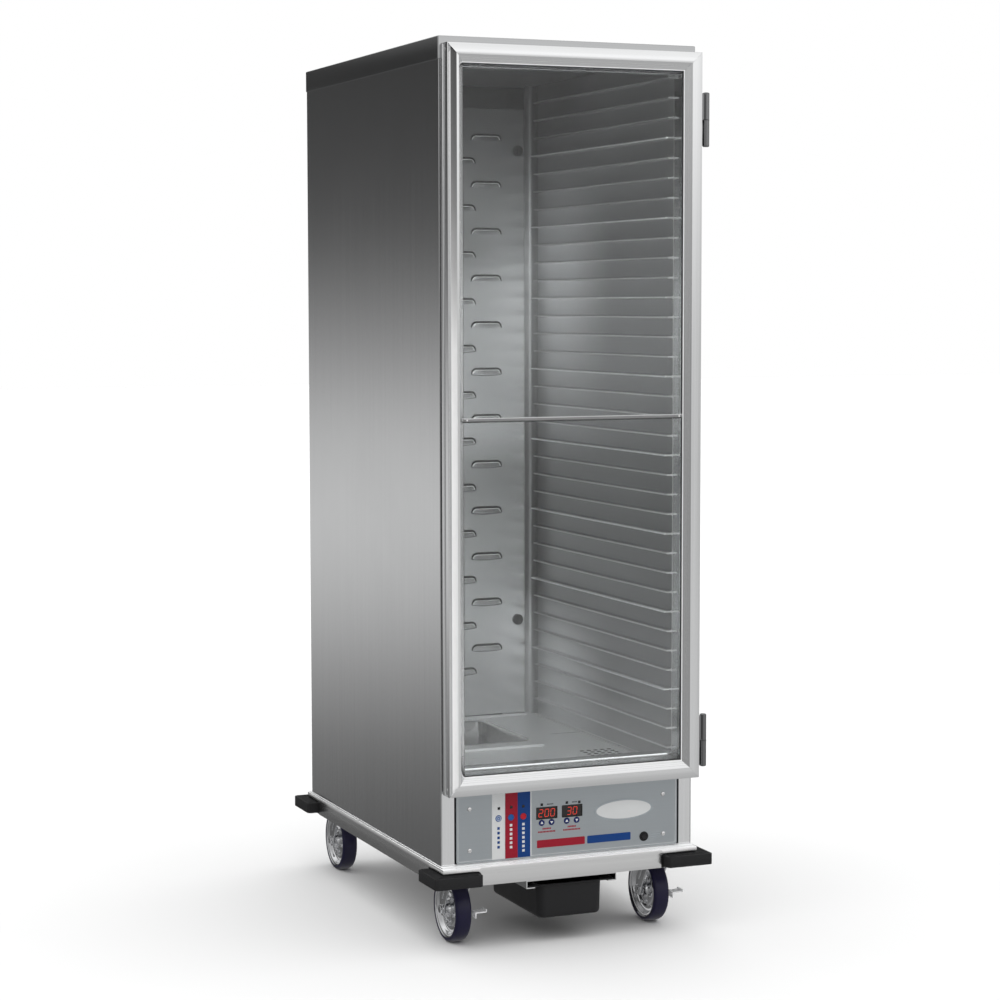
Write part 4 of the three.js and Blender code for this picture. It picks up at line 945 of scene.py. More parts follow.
# the cut that frees each louvre: half width, corner radius and drop
CUT_HALF, CUT_ROUND, CUT_DROP = 35.0, 11.0, 13.2
LIP_GAP, LIP_RISE = 3.7, 4.3     # lip set back from the cut, and its stand-off from the sheet
ROW_SHARES = (0.14, 0.3, 0.48, 0.66, 0.82, 0.94, 1.0)    # mesh rows from root to lip
CREASE_ROOTS_BELOW = 1130        # louvres lower than this also get a painted shade line at the root

LOUVRES = []                     # (x, z) of the middle of each cut: rows of three, then two
for row in range(12):
    row_z = 1577.0 - row * 100.3
    LOUVRES += [(x, row_z) for x in (-120.0, 0.0, 120.0)]
    LOUVRES += [(x, row_z - 50.15) for x in (-60.0, 60.0)]


def cut_outline():
    quarter = [math.radians(t) for t in range(0, 91, 15)]
    points = [(-CUT_HALF, -CUT_DROP)]
    points += [(-CUT_HALF + CUT_ROUND - CUT_ROUND * math.cos(t),
                -CUT_ROUND + CUT_ROUND * math.sin(t)) for t in quarter]
    points += [(x, 0.0) for x in (-16, -8, 0, 8, 16)]
    points += [(CUT_HALF - CUT_ROUND + CUT_ROUND * math.sin(t),
                -CUT_ROUND + CUT_ROUND * math.cos(t)) for t in quarter]
    return points + [(CUT_HALF, -CUT_DROP)]


def lip_and_root(cut):
    """Lip line (x, z, stand-off) and root line (x, z) matching the points of the cut."""
    lip, root = [], []
    last = len(cut) - 1
    for i, (x, z) in enumerate(cut):
        before, after = cut[max(i - 1, 0)], cut[min(i + 1, last)]
        dx, dz = after[0] - before[0], after[1] - before[1]
        length = math.hypot(dx, dz)
        gap = LIP_GAP * min(1.0, min(i, last - i) / 1.5)
        lip_x, lip_z = x + dz / length * gap, z - dx / length * gap
        inner = 0 < i < last
        rise = LIP_RISE * (1 - min(1.0, abs(x) / CUT_HALF) ** 3) if inner else 0.0
        lip.append((lip_x, lip_z, rise))
        root_x = lip_x * CUT_HALF / (CUT_HALF - LIP_GAP) if inner else x
        root_x = max(-CUT_HALF, min(CUT_HALF, root_x))
        root.append((root_x, -CUT_DROP - 2.6 * (1 - (root_x / CUT_HALF) ** 2)))
    return lip, root


def louvre_columns(points, x, z, first, lip, root):
    """Adds the points of one raised louvre; returns its columns of point numbers."""
    n = len(lip)
    # in the flat sheet the cut comes first, then the root from right to left
    columns = [[first] * (len(ROW_SHARES) + 1)]
    for i in range(1, n - 1):
        column = [first + 2 * n - 2 - i]
        (root_x, root_z), (lip_x, lip_z, rise) = root[i], lip[i]
        for t in ROW_SHARES:
            column.append(len(points))
            points.append((x + root_x + (lip_x - root_x) * t,
                           DUCT_Y - rise * (t * t * (1.7 - 0.7 * t)),
                           z + root_z + (lip_z - root_z) * t))
        columns.append(column)
    return columns + [[first + n - 1] * (len(ROW_SHARES) + 1)]


def duct_front():
    cut = cut_outline()
    lip, root = lip_and_root(cut)
    side, top = DUCT_X - DUCT_BEND, DUCT_TOP - DUCT_BEND
    loops = [[Vector((-side, DUCT.z0, 0)), Vector((side, DUCT.z0, 0)), Vector((side, top, 0)),
              Vector((-side, top, 0))]]
    for x, z in LOUVRES:
        loops.append([Vector((x + u, z + v, 0)) for u, v in cut + root[-2:0:-1]])
    points = [(corner.x, DUCT_Y, corner.y) for loop in loops for corner in loop]
    faces = [(tuple(triangle), False) for triangle in tessellate_polygon(loops)]
    lips, shade_lines = Piece(), Piece()
    shade_paths = []
    first = 4
    for x, z in LOUVRES:
        columns = louvre_columns(points, x, z, first, lip, root)
        first += 2 * len(cut) - 2
        for left, right in zip(columns, columns[1:]):
            for k in range(len(ROW_SHARES)):
                face = tuple(dict.fromkeys((left[k], right[k], right[k + 1], left[k + 1])))
                if len(face) > 2:
                    faces.append((face, True))
        # painted shade lines: black tubes along each cut and, low down, along the root
        shade_paths.append(([(x + u, DUCT_Y - 0.1, z + v + 0.5) for u, v in cut], 1.0))
        if z < CREASE_ROOTS_BELOW:
            path = [(x + u, DUCT_Y - 0.15, z + v) for u, v in root[1:-1]]
            shade_paths.append((path, 0.6))

    sheet = bmesh.new()
    verts = [sheet.verts.new((x * MM, y * MM, z * MM)) for x, y, z in points]
    for corners, smooth in faces:
        # guards against a repeated face from the tessellation
        try:
            face = sheet.faces.new([verts[i] for i in corners])
        except ValueError:
            continue
        face.normal_update()
        if face.normal.y > 0:
            face.normal_flip()
        face.smooth = smooth
    data = bpy.data.meshes.new("duct_front")
    sheet.to_mesh(data)
    sheet.free()
    data.materials.append(MATERIALS["duct_sheet"])
    duct = place("duct_front", data)
    solidify = duct.modifiers.new("sheet", "SOLIDIFY")
    solidify.thickness = DUCT_SHEET * MM
    solidify.offset = -1.0

    # the lip of each louvre drawn in the white painted highlight
    for x, z in LOUVRES:
        lips.tube([(x + u, DUCT_Y - rise - 0.3, z + v) for u, v, rise in lip[1:-1]], 0.8, 8)
    lips.make("duct_lips", "lip_highlight", slot="brushed_sheet")
    for path, radius in shade_paths:
        shade_lines.tube(path, radius, 6)
    shade_lines.make("duct_shade_lines", "painted_shade_black", slot="brushed_sheet")
    register(duct, "root", "air_duct_panel")


def return_outline(edge):
    """Bent edge of the duct sheet: (towards the edge, y)."""
    def bend(radius):
        turns = [math.radians(a) for a in range(0, 91, 15)]
        return [(edge - DUCT_BEND + radius * math.sin(a),
                 DUCT_Y + DUCT_BEND - radius * math.cos(a)) for a in turns]
    return [(edge - 3.05, DUCT_Y), *bend(DUCT_BEND), (edge, DUCT.y1), (edge - DUCT_SHEET, DUCT.y1),
            *bend(1.8)[::-1], (edge - 3.05, DUCT_Y + DUCT_SHEET)]


def duct_returns():
    returns = Piece()
    for side in (-1, 1):
        returns.prism("z", [(side * x, y) for x, y in return_outline(DUCT_X)],
                      DUCT.z0, DUCT_TOP - 0.2)
    returns.prism("x", [(y, z) for z, y in return_outline(DUCT_TOP)],
                  -DUCT_X + 1.25, DUCT_X - 1.25)
    returns.make("duct_returns", "duct_sheet", slot="brushed_sheet")


def duct_stud(where, side):
    """Quarter-turn stud; the right one replaces the CAD node, the left one mirrors it."""
    node = "duct_fastener_" + where
    cad = box(node)
    x, z = side * ((cad.x0 + cad.x1) / 2), (cad.z0 + cad.z1) / 2
    radius = 11.5
    slot_angle = math.asin(1.6 / radius)
    back = DUCT_Y - 0.3
    stud = Piece()
    # a straight driver slot is left between two D-shaped halves over a disc
    stud.turn("y", [(radius - 0.4, back), (radius, back - 0.5), (radius, DUCT_Y - 2.8),
                    (radius - 0.6, DUCT_Y - 2.82), (0.2, DUCT_Y - 2.82)], x, z, 36)
    for half in (-1, 1):
        turns = [slot_angle + (math.pi - 2 * slot_angle) * k / 16 for k in range(17)]
        outline = [(x + half * radius * math.sin(a), z + radius * math.cos(a)) for a in turns]
        stud.prism("y", outline, DUCT_Y - 4.6, DUCT_Y - 2.7, 0.7, 2, 30)
    stud.rod("y", 4.0, DUCT_Y - 0.5, DUCT_Y + 5.6, x, z, 20, 0.3)
    stud.box(x - 9, x + 9, DUCT_Y + 4.2, DUCT_Y + 5.8, z - 2.6, z + 2.6, 0.4)
    if side < 0:
        # only the left studs carry a washer ring here
        stud.turn("y", [(radius + 0.2, DUCT_Y + 0.05), (radius + 2.0, DUCT_Y + 0.05),
                        (radius + 2.0, DUCT_Y - 0.35), (radius + 0.2, DUCT_Y - 0.6)],
                  x, z, 36, closed=True)
        stud.make("duct_stud_%s_left" % where, "black_plastic")
    else:
        stud.make("duct_stud_%s_right" % where, "black_plastic", node, node, "black_plastic")


duct_front()
duct_returns()
for where in ("upper", "lower"):
    duct_stud(where, 1)
    duct_stud(where, -1)

# ------------------------------------------------------------------ water pan and deck
DECK_TOP = 313.0


def water_pan():
    pan = box("water_pan")
    low, top = pan.z0, pan.z1
    # (inset, corner radius, z): up the outside, over the rim, down the inside
    stations = [(12, 13, low), (9, 15.5, low + 0.6), (7.2, 17, low + 3.5), (7.0, 18, low + 8),
                (7.0, 18, top - 2.4), (6.2, 19, top - 1.3), (0.8, 24.4, top - 1.2),
                (0.1, 25, top - 0.7), (0.1, 25, top + 0.3), (0.7, 24.4, top + 0.9),
                (1.8, 23.4, top + 0.9), (2.8, 22.6, top + 0.1), (6.2, 19.2, top),
                (7.3, 18.2, top - 0.5), (8.0, 17.4, top - 1.8), (8.4, 17, low + 10),
                (9.2, 16, low + 4.5), (11.2, 14.5, low + 2.2), (15, 11.5, low + 1.3)]
    Piece().loft(nested_rings(-pan.x1, pan.x1, pan.y0, pan.y1, 7, stations)).make(
        "water_pan_drawn", "stainless", "water_pan", "water_pan", angle=40)


def deck_details():
    ridge = Piece()
    turns = [math.radians(a) for a in range(0, 181, 20)]
    profile = [(-54.4, DECK_TOP - 0.2)]
    profile += [(-51 - 3.4 * math.cos(a), DECK_TOP + 1.6 + 3.2 * math.sin(a)) for a in turns]
    profile += [(-47.6, DECK_TOP - 0.2)]
    ridge.prism("x", profile, -90.5, 90.5, 0.5, 1, 60)
    for side in (-1, 1):
        end = ((90.0, -56.2), (93.4, -55.4), (93.4, -46.6), (90.0, -45.8))
        ridge.prism("z", [(side * x, y) for x, y in end], DECK_TOP - 0.3, DECK_TOP + 4.4, 0.8, 2, 30)
    ridge.make("deck_ridge", "deck_sheet", slot="brushed_sheet")
    # raised bead across the back of the deck: (y, above the deck)
    bead = ((307.6, -0.2), (307.8, 3.0), (308.8, 4.7), (310.5, 5.3), (312.2, 4.7), (313.2, 3.0),
            (313.4, -0.2))
    Piece().prism("x", [(y, DECK_TOP + z) for y, z in bead], -209.4, 209.4).make(
        "deck_rear_bead", "deck_sheet", slot="brushed_sheet")
    rivets = Piece()
    for side in (-1, 1):
        for y in (-300, -120, 60, 240):
            rivets.dome("z", 2.6, 315.1, 316.1, side * 232, y, 14)
    rivets.make("rack_foot_rivets", "screw_steel", slot="brushed_sheet")
    # dark squares in the deck perforations: painted shade where the holes show only shade
    hole_shade = Piece()
    half = 4.45
    for side in (-1, 1):
        for i in range(5):
            for j in range(5):
                x, y = side * (141.5 + i * 15), -207.5 + j * 18
                hole_shade.box(x - half, x + half, y - half, y + half,
                           DECK_TOP - 1.1, DECK_TOP - 0.12, 0.1, 1)
    hole_shade.make("deck_hole_shade", "painted_shade_black", slot="black_plastic")


water_pan()
deck_details()

# ------------------------------------------------------------------ control panel print
PANEL = box("control_faceplate")
FACE = PANEL.y0                  # y of the printed front face
STRIPE_LOW, STRIPE_TOP = PANEL.z0 + 2.2, PANEL.z1 - 0.6
STRIPE_HOLE = 6.4


def centre_of(node):
    cad = box(node)
    return (cad.x0 + cad.x1) / 2, (cad.z0 + cad.z1) / 2


def circle(x, z, radius_x, radius_z, count):
    turns = [2 * math.pi * k / count for k in range(count)]
    return [(x + radius_x * math.cos(t), z + radius_z * math.sin(t)) for t in turns]


def stripe(name, material, x0, x1, button):
    """Printed stripe with an opening round a key."""
    loops = [[(x0, STRIPE_LOW), (x1, STRIPE_LOW), (x1, STRIPE_TOP), (x0, STRIPE_TOP)],
             circle(*centre_of(button), STRIPE_HOLE, STRIPE_HOLE, 32)]
    outline = [point for loop in loops for point in loop]
    n = len(outline)
    points = [(x, y, z) for y in (FACE - 0.16, FACE + 0.05) for x, z in outline]
    triangles = tessellate_polygon([[Vector((x, z, 0)) for x, z in loop] for loop in loops])
    faces = [tuple(t) for t in triangles] + [tuple(i + n for i in t) for t in triangles]
    start = 0
    for loop in loops:
        for i in range(len(loop)):
            a, b = start + i, start + (i + 1) % len(loop)
            faces.append((a, b, n + b, n + a))
        start += len(loop)
    Piece().shell(points, faces).make(name, material, slot="panel_face")


def mark(piece, x, z, half_x, half_z, depth=0.2, bevel=0.05):
    piece.box(x - half_x, x + half_x, FACE - depth, FACE, z - half_z, z + half_z, bevel, 1)


def stripes_and_legends():
    for name, material, x0, x1, button in (
            ("stripe_white", "print_white", -158.4, -132.0, "power_button"),
            ("stripe_red", "print_red", -131.3, -105.9, "heater_button"),
            ("stripe_blue", "print_blue", -105.8, -79.6, "proofer_button")):
        stripe(name, material, x0, x1, button)
    Piece().box(-79.6, -77.3, FACE - 0.16, FACE + 0.05, STRIPE_LOW, STRIPE_TOP, 0.05, 1).make(
        "stripe_margin", "print_white", slot="panel_face")
    # columns of plain blocks: count, top z, pitch, half height
    for key, material, count, top, pitch, half in (
            ("power", "print_blue", 5, 228, 9.0, 2.6), ("heater", "print_white", 6, 232, 8.4, 2.4),
            ("proofer", "print_white", 7, 232, 8.4, 2.4)):
        x = centre_of(key + "_button")[0]
        legend = Piece()
        for k in range(count):
            mark(legend, x, top - k * pitch, 2.6, half, depth=0.22, bevel=0.06)
        legend.make("legend_" + key, material, slot="panel_face")


def lamps_and_rows():
    lamps = Piece()
    for x, z in ((-144.4, 266.0), (-118.8, 266.6), (-94.1, 266.3), (-55.9, 266.1),
                 (-3.7, 266.2), (22.2, 265.3)):
        lamps.box(x - 2.6, x + 2.6, FACE - 0.6, FACE + 0.1, z - 2.6, z + 2.6, 0.4, 2)
    lamps.make("indicator_lamps", "led_dark", slot="display_black")
    legend = Piece()
    for x, z, count in ((-44.0, 266.1, 5), (8.0, 266.2, 4)):
        for k in range(count):
            mark(legend, x + k * 2.7, z, 1.0, 1.0)
    legend.make("legend_lamps", "led_dark", slot="panel_face")
    rows = Piece()
    for x in (-45.8, 6.4):
        for z, count in ((219.5, 6), (213.6, 12)):
            for k in range(count):
                mark(rows, x + (k - (count - 1) / 2) * 3.0, z, 1.15, 1.5)
    rows.make("legend_rows", "print_red", slot="panel_face")


def badge_and_rules():
    # blank oval badge: half width, half height, front and back y offset, bevel
    for name, material, half_x, half_z, front, back, bevel in (
            ("blank_badge", "print_grey", 63, 21.5, -0.5, 0.05, 0.3),
            ("blank_badge_field", "print_white", 58, 17.6, -0.75, -0.4, 0.25)):
        Piece().prism("y", circle(116, 243.5, half_x, half_z, 48), FACE + front, FACE + back,
                      bevel, 2, 30).make(name, material, slot="panel_face")
    for colour, x0, x1 in (("red", -66.0, 34.0), ("blue", 39.0, 131.0)):
        Piece().prism("y", rounded_rect(x0, x1, 183.0, 198.0, 2.0, 4), FACE - 0.2,
                      FACE + 0.05).make("rule_" + colour, "print_" + colour, slot="panel_face")
    bars = Piece()
    for k in range(3):
        bars.box(175, 196 - k * 3, FACE - 0.2, FACE, 190.4 - k * 4.2, 192.6 - k * 4.2, 0.05, 1)
    bars.make("legend_breaker", "print_grey", slot="panel_face")


def panel_trim():
    # (radius, y offset from the face)
    bezel = ((6.5, 0.1), (9.4, 0.1), (9.4, -0.7), (8.6, -1.3), (7.0, -1.3), (6.5, -0.8))
    Piece().turn("y", [(r, FACE + y) for r, y in bezel], *centre_of("breaker_button"), 32,
                 closed=True).make("breaker_bezel", "black_plastic")
    # border line: (inset, corner radius, y offset)
    border = ((3.2, 3.6, 0.05), (3.2, 3.6, -0.12), (4.0, 3.0, -0.12), (4.0, 3.0, 0.05))
    Piece().loft([upright_ring(-PANEL.x1, PANEL.x1, PANEL.z0, PANEL.z1, 4, inset, r, FACE + y)
                  for inset, r, y in border], closed=True).make(
        "panel_border", "print_white", slot="panel_face")
    screw = ((4.6, 0.05), (4.6, -0.5), (4.3, -1.1), (3.4, -1.7), (2.0, -2.0), (1.5, -2.0),
             (1.1, -1.2), (0.1, -1.2))
    screws = Piece()
    for x, z in ((-204, 269.3), (-204, 190.3), (200, 266.7), (201, 188.8)):
        screws.turn("y", [(r, FACE + y) for r, y in screw], x, z, 24)
    screws.make("panel_screws", "screw_steel", slot="zinc_plate")


def key(node, material, arrow):
    """Round key with a raised rim; `arrow` is 1 for up, -1 for down, 0 for none."""
    cad = box(node)
    x, z = centre_of(node)
    radius = (cad.x1 - cad.x0) / 2
    face = cad.y0
    Piece().turn("y", [(radius, cad.y1), (radius, face + 0.35), (radius - 0.25, face + 0.08),
                       (radius - 0.8, face), (radius - 1.3, face + 0.06),
                       (radius - 1.8, face + 0.14), (0.1, face + 0.10)], x, z, 36).make(
        node + "_cap", material, node, node)
    front, back = face - 0.12, face + 0.2
    if node == "power_button":
        power = Piece()
        power.turn("y", [(4.4, back), (4.4, front), (3.5, front), (3.5, back)], x, z, 32,
                   closed=True)
        power.prism("y", [(x - 1.7, z + 1.0), (x + 1.7, z + 1.0), (x, z - 1.9)], front, back)
        power.make("power_mark", "print_white", node, slot="key_blue")
    elif arrow:
        outline = [(x - 3.1, z - arrow * 2.0), (x + 3.1, z - arrow * 2.0), (x, z + arrow * 3.2)]
        Piece().prism("y", outline, front, back, 0.1, 1).make(
            node.replace("_button", "_arrow"), "print_white", node, slot="key_navy")


def breaker_cap():
    cad = box("breaker_button")
    x, z = centre_of("breaker_button")
    front = cad.y0
    cap = Piece()
    cap.turn("y", [(6.0, FACE + 4.0), (6.0, front + 0.9), (5.6, front + 0.3), (4.9, front),
                   (4.2, front + 0.25), (0.1, front + 0.35)], x, z, 32)
    cap.rod("y", 4.0, FACE + 3.0, cad.y1, x, z, 16, 0.4)
    cap.make("breaker_cap", "black_plastic", "breaker_button", "breaker_button")


# seven-segment digits: size, gap between digits, stroke, end gap and slant
DIGIT_WIDTH, DIGIT_HEIGHT, DIGIT_SPACE = 7.6, 14.0, 4.6
STROKE, SEGMENT_GAP, LEAN = 1.25, 0.25, 0.10
DIGIT_SEGMENTS = {"0": "abcdef", "2": "abged", "3": "abgcd"}
DIGIT_HALF = DIGIT_HEIGHT / 2
# segment: start across, start up, whether it lies level
SEGMENTS = {"a": (0, DIGIT_HEIGHT, True), "d": (0, 0, True), "g": (0, DIGIT_HALF, True),
            "b": (DIGIT_WIDTH, DIGIT_HALF, False), "c": (DIGIT_WIDTH, 0, False),
            "f": (0, DIGIT_HALF, False), "e": (0, 0, False)}


def digit(piece, character, x, z):
    half, gap = STROKE / 2, SEGMENT_GAP
    for segment in DIGIT_SEGMENTS[character]:
        u, v, level = SEGMENTS[segment]
        if level:
            end = u + DIGIT_WIDTH
            outline = [(u + gap, v), (u + gap + half, v + half), (end - gap - half, v + half),
                       (end - gap, v), (end - gap - half, v - half), (u + gap + half, v - half)]
        else:
            end = v + DIGIT_HALF
            outline = [(u, v + gap), (u - half, v + gap + half), (u - half, end - gap - half),
                       (u, end - gap), (u + half, end - gap - half), (u + half, v + gap + half)]
        piece.prism("y", [(x + a + LEAN * (b - DIGIT_HALF), z + b) for a, b in outline],
                    FACE + 0.25, FACE + 0.6)


def display(name, x0, x1, text):
    z0, z1 = 239.0, 260.3
    digits = Piece()
    width = len(text) * DIGIT_WIDTH + (len(text) - 1) * DIGIT_SPACE
    x = (x0 + x1) / 2 - width / 2
    for character in text:
        digit(digits, character, x, (z0 + z1) / 2 - DIGIT_HALF)
        x += DIGIT_WIDTH + DIGIT_SPACE
    digits.make("digits_" + name, "digit_red", slot="display_black")
    # window frame: (inset, y offset from the face)
    frame_stations = ((-1.2, 0.05), (-1.2, -0.35), (-0.7, -0.6), (0.0, -0.6), (0.35, -0.2),
                      (0.35, 0.4))
    Piece().loft([upright_ring(x0, x1, z0, z1, 3, inset, 1.2, FACE + y)
                  for inset, y in frame_stations], closed=True).make(
        "display_bezel_" + name, "display_black")


stripes_and_legends()
lamps_and_rows()
badge_and_rules()
panel_trim()
for node, material, arrow in (
        ("power_button", "key_blue", 0), ("heater_button", "key_blue", 0),
        ("proofer_button", "key_red", 0), ("heat_up_button", "key_navy", 1),
        ("heat_down_button", "key_navy", -1), ("proof_up_button", "key_navy", 1),
        ("proof_down_button", "key_navy", -1)):
    key(node, material, arrow)
breaker_cap()
display("heat", -66.4, -24.6, "200")
display("proof", -13.0, 27.6, "30")

# ------------------------------------------------------------------ casters
TRAIL, AXLE = 28.5, 63.5         # axle behind the swivel, and its height

# fork leg and its pressed rib: (behind the swivel, z)
FORK_LEG = [(-27, 137.8), (31, 137.8), (34.5, 130), (38, 112), (39.4, 92), (40, 72),
            (TRAIL + 10.4, AXLE - 4), (TRAIL + 7.4, AXLE - 9.6), (TRAIL + 3.4, AXLE - 12.4),
            (TRAIL, AXLE - 13), (TRAIL - 3.4, AXLE - 12.4), (TRAIL - 7.4, AXLE - 9.6),
            (TRAIL - 10.6, AXLE - 3), (TRAIL - 12, AXLE + 5), (4, 92), (-8, 108), (-19, 120),
            (-25, 129)]
FORK_RIB = [(4, 132), (16, 132), (24, 112), (TRAIL + 3, 92), (TRAIL + 2, 84), (TRAIL - 4, 84),
            (8, 112)]
# turned parts on the swivel: segments, then (radius, z)
SWIVEL_PARTS = [
    (44, [(24, 139.8), (29.5, 139.9), (30.6, 140.6), (31, 142.0), (30.4, 143.0), (29.2, 143.4),
          (29.2, 143.9), (31.0, 144.3), (31.0, 146.6), (30.4, 147.4), (12, 148.0), (0.3, 148.0)]),
    (20, [(6.0, 147.5), (6.0, 157.8), (5.2, 158.5), (0.3, 158.5)]),
    (6, [(0.3, 131.4), (7.0, 131.6), (8.8, 132.4), (8.8, 137.2)]),
    (20, [(0.3, 130.2), (4.2, 130.4), (4.6, 131.0), (4.6, 133)])]
# half sections of the wheel: (radius, out from its middle plane)
HUB_HALF = [(6.3, 17.0), (11.4, 17.0), (12.4, 16.2), (12.8, 12.0), (14.2, 8.6), (17.5, 7.0),
            (22.0, 6.6), (30.0, 6.4), (33.0, 5.2), (35.0, 4.2), (42.0, 4.4), (45.0, 5.4),
            (47.6, 8.4), (49.0, 11.6), (50.2, 12.6), (52.0, 12.8), (53.4, 13.8), (54.9, 15.0)]
TYRE_HALF = [(55.0, 15.2), (55.8, 15.9), (58.0, 15.9), (60.0, 15.3), (61.4, 13.9), (62.3, 11.8),
             (62.9, 9.0), (63.25, 6.0), (63.45, 3.0), (63.5, 0.0)]


def yoke(prefix, x, y, braked):
    wheel_y = y + TRAIL
    fork = Piece()
    # each leg: inner or outer x faces, and where its rib starts
    for start, end, rib in ((-22, -19, -22.9), (19, 22, 22)):
        fork.prism("x", [(y + u, z) for u, z in FORK_LEG], x + start, x + end, 0.9, 2, 25)
        fork.prism("x", [(y + u, z) for u, z in FORK_RIB], x + rib, x + rib + 0.95, 0.4, 2, 25)
    fork.prism("z", rounded_rect(x - 22, x + 22, y - 27, y + 31, 9, 5), 137, 140.2, 0.8, 2, 30)
    for segments, profile in SWIVEL_PARTS:
        fork.turn("z", profile, x, y, segments)
    axle_end = 29.5 if braked else 26.0
    fork.turn("x", [(5.4, x - 22.5), (5.4, x + axle_end)], wheel_y, AXLE, 20)
    for side, seat in ((-1, -21.9), (1, 25.2 if braked else 21.9)):
        washer = ((9.6, 0), (9.6, 0.9), (8.9, 1.3), (0.3, 1.3))
        nut = ((8.4, 1.2), (8.4, 4.4), (7.3, 5.2), (5.0, 5.3), (5.0, 5.0), (0.3, 5.0))
        for profile, segments in ((washer, 28), (nut, 6)):
            fork.turn("x", [(r, x + seat + side * out) for r, out in profile],
                      wheel_y, AXLE, segments)
    fork.make(prefix + "_yoke", "zinc_plate", prefix + "_swivel", prefix + "_fork", angle=30)


def wheel(prefix, x, wheel_y):
    profile = [(r, x - out) for r, out in HUB_HALF] + [(r, x + out) for r, out in HUB_HALF[::-1]]
    hub = Piece().turn("x", profile, wheel_y, AXLE, 64, closed=True)

    def studs(side, radius, t, parts):
        """Turned parts round the hub at angle t: segments, start angle, (radius, out)."""
        p, q = wheel_y + radius * math.cos(t), AXLE + radius * math.sin(t)
        for segments, start, profile in parts:
            hub.turn("x", [(r, x + side * out) for r, out in profile], p, q, segments,
                     start=start)

    for side in (-1, 1):
        for k in range(5):
            t = 2 * math.pi * (k + 0.5) / 5 + 0.3
            studs(side, 25.5, t, ((20, 0.0, ((5.6, 6.2), (5.6, 7.2), (0.3, 7.2))),
                                  (6, t, ((4.6, 7.0), (4.6, 9.8), (3.8, 10.4), (0.3, 10.5)))))
        shield = ((7.2, 16.9), (7.4, 17.5), (9.8, 17.5), (10.6, 16.9))
        hub.turn("x", [(r, x + side * out) for r, out in shield], wheel_y, AXLE, 32, closed=True)
        for k in range(5):
            studs(side, 38.5, 2 * math.pi * k / 5 + 0.3,
                  ((18, 0.0, ((3.6, 4.0), (3.4, 5.2), (2.6, 5.7), (0.3, 5.9))),))
    hub.make(prefix + "_wheel_centre", "zinc_plate", prefix + "_wheel", prefix + "_hub", angle=30)
    profile = [(r, x - out) for r, out in TYRE_HALF]
    profile += [(r, x + out) for r, out in TYRE_HALF[-2::-1]]
    Piece().turn("x", profile, wheel_y, AXLE, 96, closed=True).make(
        prefix + "_tread", "tyre_poly", prefix + "_wheel", prefix + "_tyre", angle=40)


def brake_lever(prefix, x, y):
    wheel_y = y + TRAIL
    lever = Piece()
    plate = [(wheel_y + 8, AXLE + 7), (wheel_y + 10.6, AXLE + 2), (wheel_y + 10, AXLE - 3),
             (wheel_y + 4, AXLE - 9), (wheel_y - 2, AXLE - 10), (wheel_y - 9, AXLE - 7.6),
             (y - 14, 56), (y - 31, 54), (y - 33, 55.5), (y - 33, 64.5), (y - 31.5, 66),
             (y - 12, 68), (wheel_y - 4, AXLE + 9.4), (wheel_y + 3, AXLE + 10)]
    lever.prism("x", plate, x + 22.6, x + 24.9, 0.6, 2, 25)
    lever.box(x + 23.0, x + 45.4, y - 33, y - 9, 64.0, 66.2, 0.6)
    # turned-up outer edge of the tread: (beside the swivel, z)
    lip = ((43.6, 64.0), (45.4, 64.3), (46.2, 65.4), (46.2, 70), (45.4, 70.4), (44.2, 70),
           (44.0, 66.6), (43.2, 66.0))
    lever.prism("y", [(x + u, z) for u, z in lip], y - 33, y - 9, 0.3, 1, 25)
    for k in range(5):
        lever.box(x + 27 + k * 3.2, x + 28.4 + k * 3.2, y - 31, y - 11, 66.0, 66.9, 0.3, 1)
    lever.rod("x", 3.0, x + 24.5, x + 27.0, y - 9, 61.5, 18, 0.4)
    lever.make(prefix + "_brake_lever", "pedal_plate", prefix + "_brake",
               prefix + "_brake_pedal", slot="zinc_plate", angle=30)


for end in ("front", "rear"):
    for side_name in ("left", "right"):
        prefix = "caster_%s_%s" % (end, side_name)
        x, y = joint_xy(JOINTS[prefix + "_swivel_turn"])
        yoke(prefix, x, y, braked=end == "front")
        wheel(prefix, x, y + TRAIL)
        if end == "front":
            brake_lever(prefix, x, y)

# ------------------------------------------------------------------ supply cord and plug
# stations of the cord from the grommet to the plug: (x, y, z)
CORD_PATH = [(60, 374.0, 235), (60, 378.0, 235), (60, 396, 234), (59, 411, 219), (58, 415, 185),
             (57, 416, 140), (48, 416, 92), (30, 416, 76), (12, 416, 92), (3, 416, 140),
             (2, 412, 190), (2, 405, 214)]


def smooth_path(stations, steps=8):
    """Catmull-Rom curve through the stations."""
    p = [Vector(station) for station in stations]
    p = [p[0] * 2 - p[1]] + p + [p[-1] * 2 - p[-2]]
    path = []
    for i in range(1, len(p) - 2):
        a, b, c, d = p[i - 1:i + 3]
        for k in range(steps):
            t = k / steps
            path.append(0.5 * ((2 * b) + (c - a) * t + (2 * a - 5 * b + 4 * c - d) * t * t
                               + (3 * b - 3 * c + d - a) * t ** 3))
    return path + [p[-2]]


